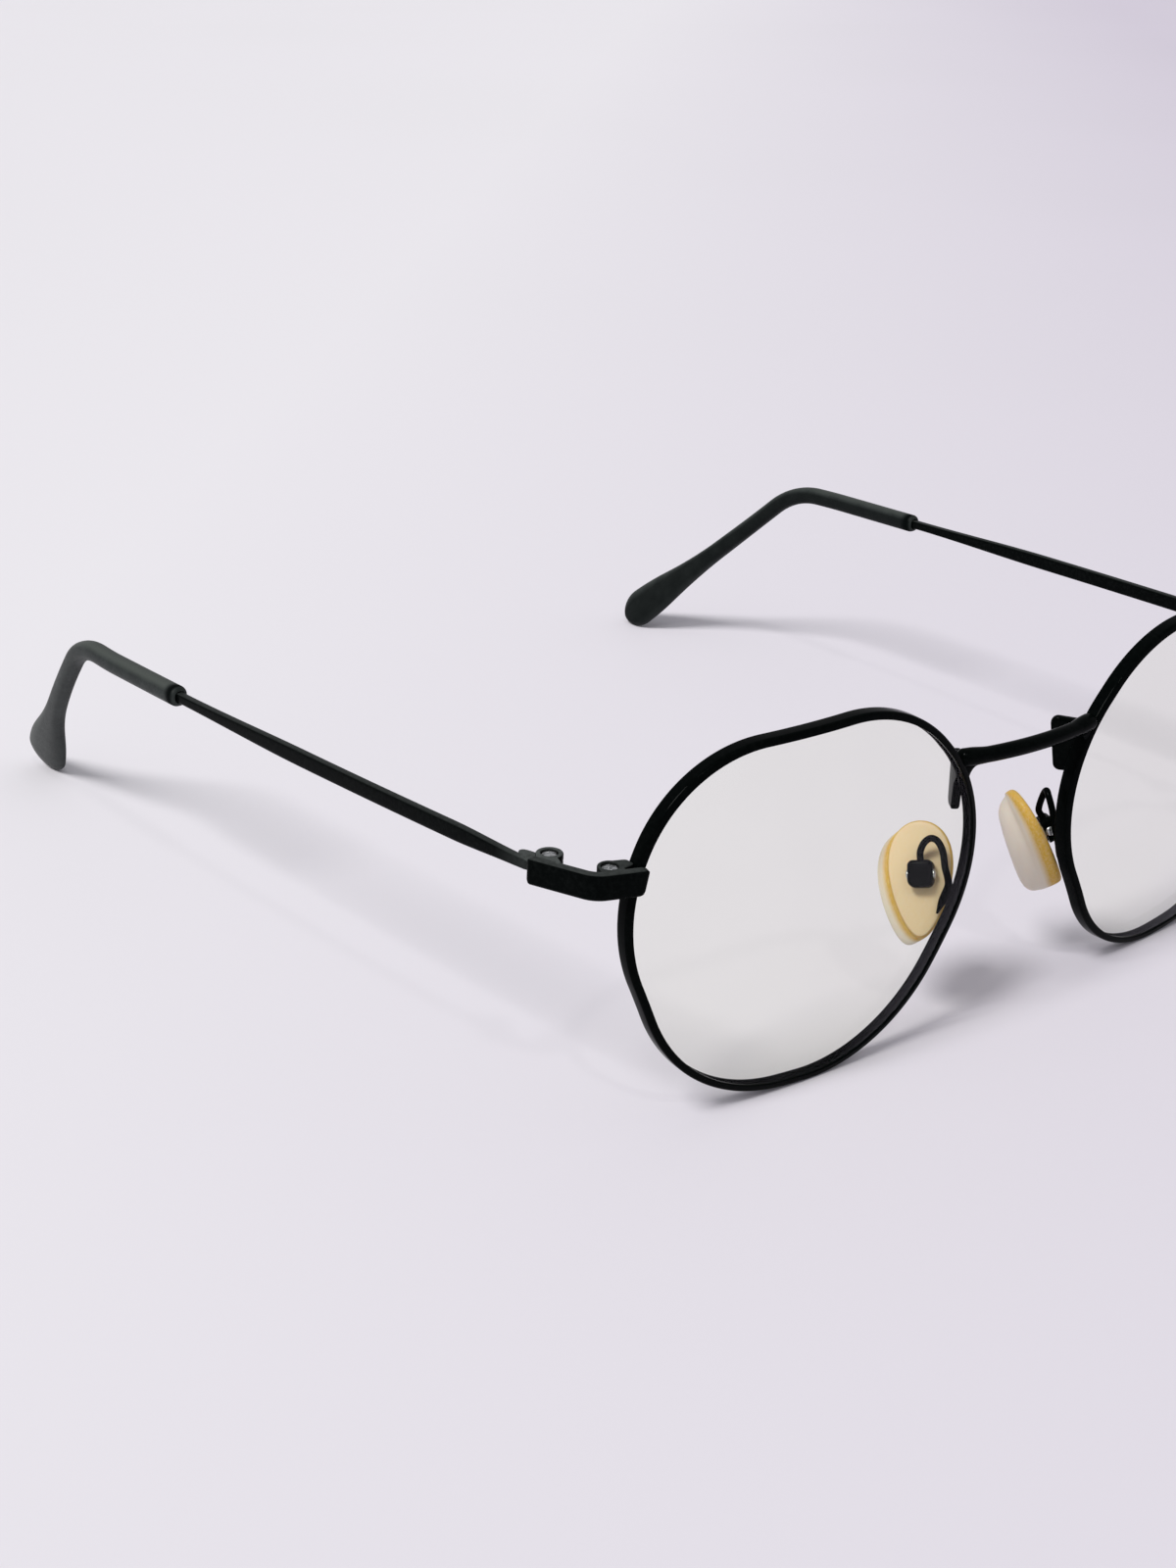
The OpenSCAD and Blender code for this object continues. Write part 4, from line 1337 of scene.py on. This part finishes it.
@dataclass
class Temple(Assembly):
    """A temple: flat bar, thin core wire and rubber tip with its paddle."""

    hinge: Hinge
    length: float = 146.5
    height: float = 2.15
    thickness: float = 1.1
    splay: float = 1.6
    fall: float = 1.35
    sleeve_start: float = 74.6
    bend_start: float = 96.8
    bend_radius: float = 14.6
    bend_angle: float = 41
    tip_inward: float = 10.9
    core: float = 1.2
    sleeve: float = 2.75
    paddle: float = 7.5
    paddle_thickness: float = 2.5
    paddle_twist: float = 34
    lead: float = 2.13
    bow: float = 0.86
    inward_power: float = 1.57
    tip_drift: float = 1.2
    step: float = 0.1

    def fall_at(self, s: Array) -> Array:
        """Downward angle along the temple: level fall, then the bend over the ear, then a slight droop.

        Args:
            s: lengths along the temple.

        Returns:
            Angles in degrees.
        """
        arc = self.bend_radius * np.radians(self.bend_angle)
        bend = np.clip((s - self.bend_start) / arc, 0, 1)
        droop = np.clip((s - self.bend_start - arc) / 40, 0, 2)
        return self.fall + self.bend_angle * bend + self.tip_drift * droop

    def line(self, s: Array) -> Array:
        """Centre line: the falling run is summed in short steps, bowed out and drawn in towards its end.

        Args:
            s: lengths along the temple.

        Returns:
            Points in the frame of the hinge.
        """
        fine = np.arange(0, 1700) * self.step
        run = np.cumsum(polar(-self.fall_at(fine + self.step / 2)) * self.step, axis=0)
        run = np.vstack([[0, 0], run[:-1]])
        back, rise = (np.interp(s, fine, run[:, i]) for i in (0, 1))
        share = np.clip((s - self.bend_start + 5) / (self.length - self.bend_start + 5), 0, None)
        bow = self.bow * np.sin(np.pi * np.clip(s / self.bend_start, 0, 1))
        inward = self.tip_inward * share**self.inward_power - bow
        c, n = polar(self.splay)
        x, y = self.hinge.side_step + back * n - inward * c, -self.lead + back * c + inward * n
        return np.stack([x, y, rise], -1)

    def ring_angles(self, sides: int) -> Array:
        """Angles in radians of a section's points, which lie on both sides of its level line."""
        return FULL_TURN * (np.arange(sides) + 0.5) / sides

    def rings(
        self, s: Array, height: Array, thickness: Array, power: float, twist: Array, skew: Array, sides: int
    ) -> Array:
        """Sections square to the centre line: a rounded box whose sides follow sign(c) * |c| to a power.

        Args:
            s: lengths along the temple.
            height: height of each section.
            thickness: thickness of each section.
            power: 1 for an ellipse, less for a squarer section.
            twist: turn of each section about the centre line, in degrees.
            skew: slant of each section along the line.
            sides: points round a section.

        Returns:
            Grid of points in the frame of the hinge.
        """
        along = unit(self.line(s + 0.2) - self.line(s - 0.2))
        level = unit(np.cross(along, [0, 0, 1.0]))
        rise = np.cross(level, along)
        cosine, sine = polar(twist).T[..., None]
        out = level * cosine - rise * sine
        up = rise * cosine + level * sine + along * skew[:, None]
        a = self.ring_angles(sides)
        c, d = (np.sign(v) * np.abs(v) ** power / 2 for v in (np.cos(a), np.sin(a)))
        wide, tall = c * thickness[:, None], d * height[:, None]
        section = out[:, None] * wide[..., None] + up[:, None] * tall[..., None]
        return self.line(s)[:, None] + section

    def temple_bar(self) -> None:
        """The bar and the start of the core wire inside the tip.

        Its height grows from a slim neck to the full height, and tapers down to the core wire.
        """
        first, end, neck = 3.2, self.sleeve_start, 1.3
        s = np.concatenate([[first, 3.25], np.linspace(3.4, 12, 34), np.linspace(12.4, end, 130), [end + 4]])
        thick = ramp(self.thickness, self.core, s, 60, end) - ramp(0.3, 0, s, first, 6)
        front = ramp(1.05, neck, s, first, 4.2) + ease(0, self.height - neck, s, 4.2, 17)
        height = np.where(s < 40, front, ease(self.height, self.core + 0.1, s, 46, end - 0.5))
        grid = self.rings(s, np.where(s > end, self.core, height), thick, 0.45, 0 * s, 0 * s, 40)
        # The tone paints highlights on the bar's top and bottom edges and at its neck by the hinge.
        up = np.sin(self.ring_angles(40))
        tone = 0.3 * np.clip((up - 0.7) / 0.2, 0, 1) + 0.15 * np.clip((-up - 0.9) / 0.08, 0, 1)
        shell = Shell().add(self.hinge.place().put(grid), tone + ramp(0.25, 0, s, 4, 9)[:, None])
        self.dress(shell, "temple_bar", 50, Slot.TEMPLE, "temple", Body.TEMPLE)

    def rubber_tip(self) -> None:
        """The tip: rings from inside its mouth, round the lip, along the sleeve and out over the paddle.

        Its height is looked up between a few places and averaged over a bell. The tone is 1 in the mouth
        and fades behind its black band, is higher on the side that faces the head, as painted shade, and
        lower on top, as a painted sheen.
        """
        last, start, sides, lip, nose = self.length, self.sleeve_start, 48, 0.8, 4
        t = np.linspace(0, QUARTER_TURN, 8)
        sleeve = np.linspace(start + lip, last - nose, 150)[1:]
        end = last - nose + nose * np.sin(np.linspace(0.03, 1, 24) * QUARTER_TURN)
        within = [start + 2.5, start + 0.5, start + 0.25]
        s = np.concatenate([within, start + lip * (1 - np.cos(t)), sleeve, end])
        mouth = [self.core / self.sleeve, self.core / self.sleeve, 0.55]
        full = np.concatenate([mouth, 0.62 + 0.38 * np.sin(t), np.ones(len(sleeve) + len(end))])
        at = s - last
        sizes = [self.sleeve, 3.1, 0.6 * self.paddle, 0.92 * self.paddle, self.paddle]
        bell = np.exp(-0.5 * ((at[:, None] - at) / 2.2) ** 2)
        width = (bell @ np.interp(at, [-35, -21, -15, -9, -4], sizes)) / bell.sum(1)
        thick = ease(self.sleeve * 0.94, self.paddle_thickness, at, -23, -11)
        twist = ease(0, self.paddle_twist, at, -35, -11)
        closing = round_end((at + nose) / nose, 0.0004)
        thin = (0.3 + 0.7 * closing) * np.clip(closing * 6, 0.1, 1)
        skew = ramp(0, 0.12, at, -20, -4)
        grid = self.rings(s, width * full * closing, thick * full * thin, 0.85, twist, skew, sides)
        dark = ease(1, 0, s, start + 1.1, start + 2.4) * ease(0, 1, s, start - 0.1, start + 0.7)
        a = self.ring_angles(sides)
        # Painted shade darkens the side that faces the head and a painted sheen lightens the top.
        side_shade_top_sheen = 0.72 * np.clip(0.3 - np.cos(a), 0, 1) - np.clip((np.sin(a) - 0.35) / 0.45, 0, 1)
        tone = dark[:, None] + side_shade_top_sheen * ((1 - dark) * (s > start + 0.3))[:, None]
        tone[: len(within)] = 1.0
        shell = Shell().add(self.hinge.place().put(grid), tone)
        self.dress(shell, "rubber_tip", 50, Slot.RUBBER, "temple_tip", Body.TEMPLE)


# The studio


@dataclass
class Studio:
    """Pale sweep, soft lamps and the camera."""

    floor_colour: Triple = (0.805, 0.79, 0.83)
    shade_and_cloud_colour: Triple = (0.635, 0.59, 0.685)
    room_colour: Triple = (0.97, 0.97, 1.0)
    room_strength: float = 0.44
    lamp_colour: Triple = (1.0, 0.99, 0.97)
    eye: Triple = (-210.522, -241.380, 140.951)
    yaw: float = -39.7209
    pitch: float = 22.7877
    roll: float = -1.3923
    focal: float = 53.81
    film: float = 36

    def camera(self) -> None:
        """Camera at the photograph's place: it looks along yaw and pitch, with its picture rolled."""
        (cy, sy), (cp, sp), (cr, sr) = (polar(angle) for angle in (self.yaw, self.pitch, self.roll))
        forward, right = np.array([-sy * cp, cy * cp, -sp]), np.array([cy, sy, 0])
        down = np.cross(forward, right)
        data = bpy.data.cameras.new("camera")
        data.lens, data.sensor_width = self.focal, self.film
        data.clip_start, data.clip_end = 0.01, 20
        obj = linked("camera", data)
        axes = (right * cr + down * sr, right * sr - down * cr, -forward)
        obj.matrix_world = placed(*axes, np.array(self.eye) * METRES)
        bpy.context.scene.camera = obj

    def floor(self) -> None:
        """The sweep: a flat floor that runs far out, with painted shade that darkens it along +x and -y, and
        a faint cloudiness in its colour.
        """
        sides, radii = 64, (0.001, 0.3, 1.0, 3.0, 8.0)
        points = turned([(r, -0.00002) for r in radii], sides)
        mesh = bpy.data.meshes.new("floor")
        faces = band_faces(len(radii), sides).tolist() + [list(range(sides))]
        mesh.from_pydata(points.reshape(-1, 3).tolist(), [], faces)
        floor = linked("floor", mesh)
        n = Nodes("pale sweep")
        cloud = n.noise(5, 2)
        parts = n.node("ShaderNodeSeparateXYZ", Vector=n.coords)
        across = n.node("ShaderNodeMath")
        across.operation = "SUBTRACT"
        for number, axis in enumerate("XY"):
            n.join(across.inputs[number], parts.outputs[axis])
        # Painted shade: the floor darkens along +x and -y, standing in for the light's falloff away from -x.
        tone = n.mix(n.spread(across.outputs[0], 0, 1, -0.16, 0.34), self.floor_colour, self.shade_and_cloud_colour)
        colour = n.mix(n.spread(cloud, 0, 0.06), tone, self.shade_and_cloud_colour)
        n.fill(n.shader, Base_Color=colour, Roughness=n.spread(cloud, 0.55, 0.7), Specular_IOR_Level=0.1)
        mesh.materials.append(n.material)

    def light(self) -> None:
        """Broad soft light from the wearer's right and above, in an even pale room."""
        world = bpy.data.worlds.new("room")
        world.use_nodes = True
        background = world.node_tree.nodes["Background"]
        background.inputs["Color"].default_value = (*self.room_colour, 1)
        background.inputs["Strength"].default_value = self.room_strength
        bpy.context.scene.world = world
        self.lamp("window", (-1.0, -0.12, 1.3), 2.35, 18)
        self.lamp("glint", (-0.35, -0.75, 1.1), 0.16, 3.5)

    def lamp(self, name: str, towards: Triple, strength: float, angle: float) -> None:
        """Far lamp that shines from a direction.

        Args:
            name: name of the lamp.
            towards: direction from the object to the lamp.
            strength: light that falls on a face square to it, in watts to the square metre.
            angle: width of the lamp as seen from the object, in degrees.
        """
        data = bpy.data.lights.new(name, "SUN")
        data.energy, data.angle, data.color = strength, np.radians(angle), self.lamp_colour
        z = unit(np.array(towards))
        x = unit(np.cross([0, 0, 1.0], z))
        linked(name, data).matrix_world = placed(x, np.cross(z, x), z, np.zeros(3))


def build(finishes: Finishes) -> None:
    """Builds and dresses every sub-assembly in order.

    Args:
        finishes: all finishes.
    """
    frame, outline = FrontFrame(), Outline()
    bridge = Bridge(finishes, frame)
    bridge.bridge_wire()
    for side in Side:
        shared = (side, finishes, frame)
        bridge.solder_web(side)
        rim = Eyewire(*shared, outline)
        rim.eyewire()
        rim.clear_lens()
        rim.bridge_plate()
        pad = PadMount(*shared, outline, rim)
        if side is Side.LEFT:
            # In use the far arm was bent higher and its pad came to rest turned on its core.
            pad = replace(pad, loop_lift=1.4, crown=2.2, crown_lean=0.12, rest_turns=(9, 4))
        pad.arm_wire()
        pad.pad_case()
        pad.pad_pin()
        pad.pad_insert()
        pad.soft_pad()
        endpiece = Endpiece(*shared)
        endpiece.end_plate()
        endpiece.closing_barrel()
        endpiece.rim_bolt()
        hinge = Hinge(*shared, endpiece)
        hinge.hinge_ears()
        hinge.temple_knuckle()
        hinge.hinge_bolt()
        temple = Temple(*shared, hinge)
        temple.temple_bar()
        temple.rubber_tip()


def main() -> None:
    """Loads the frame and builds the eyeglasses and the studio."""
    logging.basicConfig(level=logging.INFO, format="%(name)s: %(message)s")
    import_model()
    studio = Studio()
    studio.camera()
    studio.floor()
    studio.light()
    build(make_finishes())
    bpy.context.scene.view_settings.view_transform = "Standard"
    bpy.context.view_layer.update()


if __name__ == "__main__":
    main()
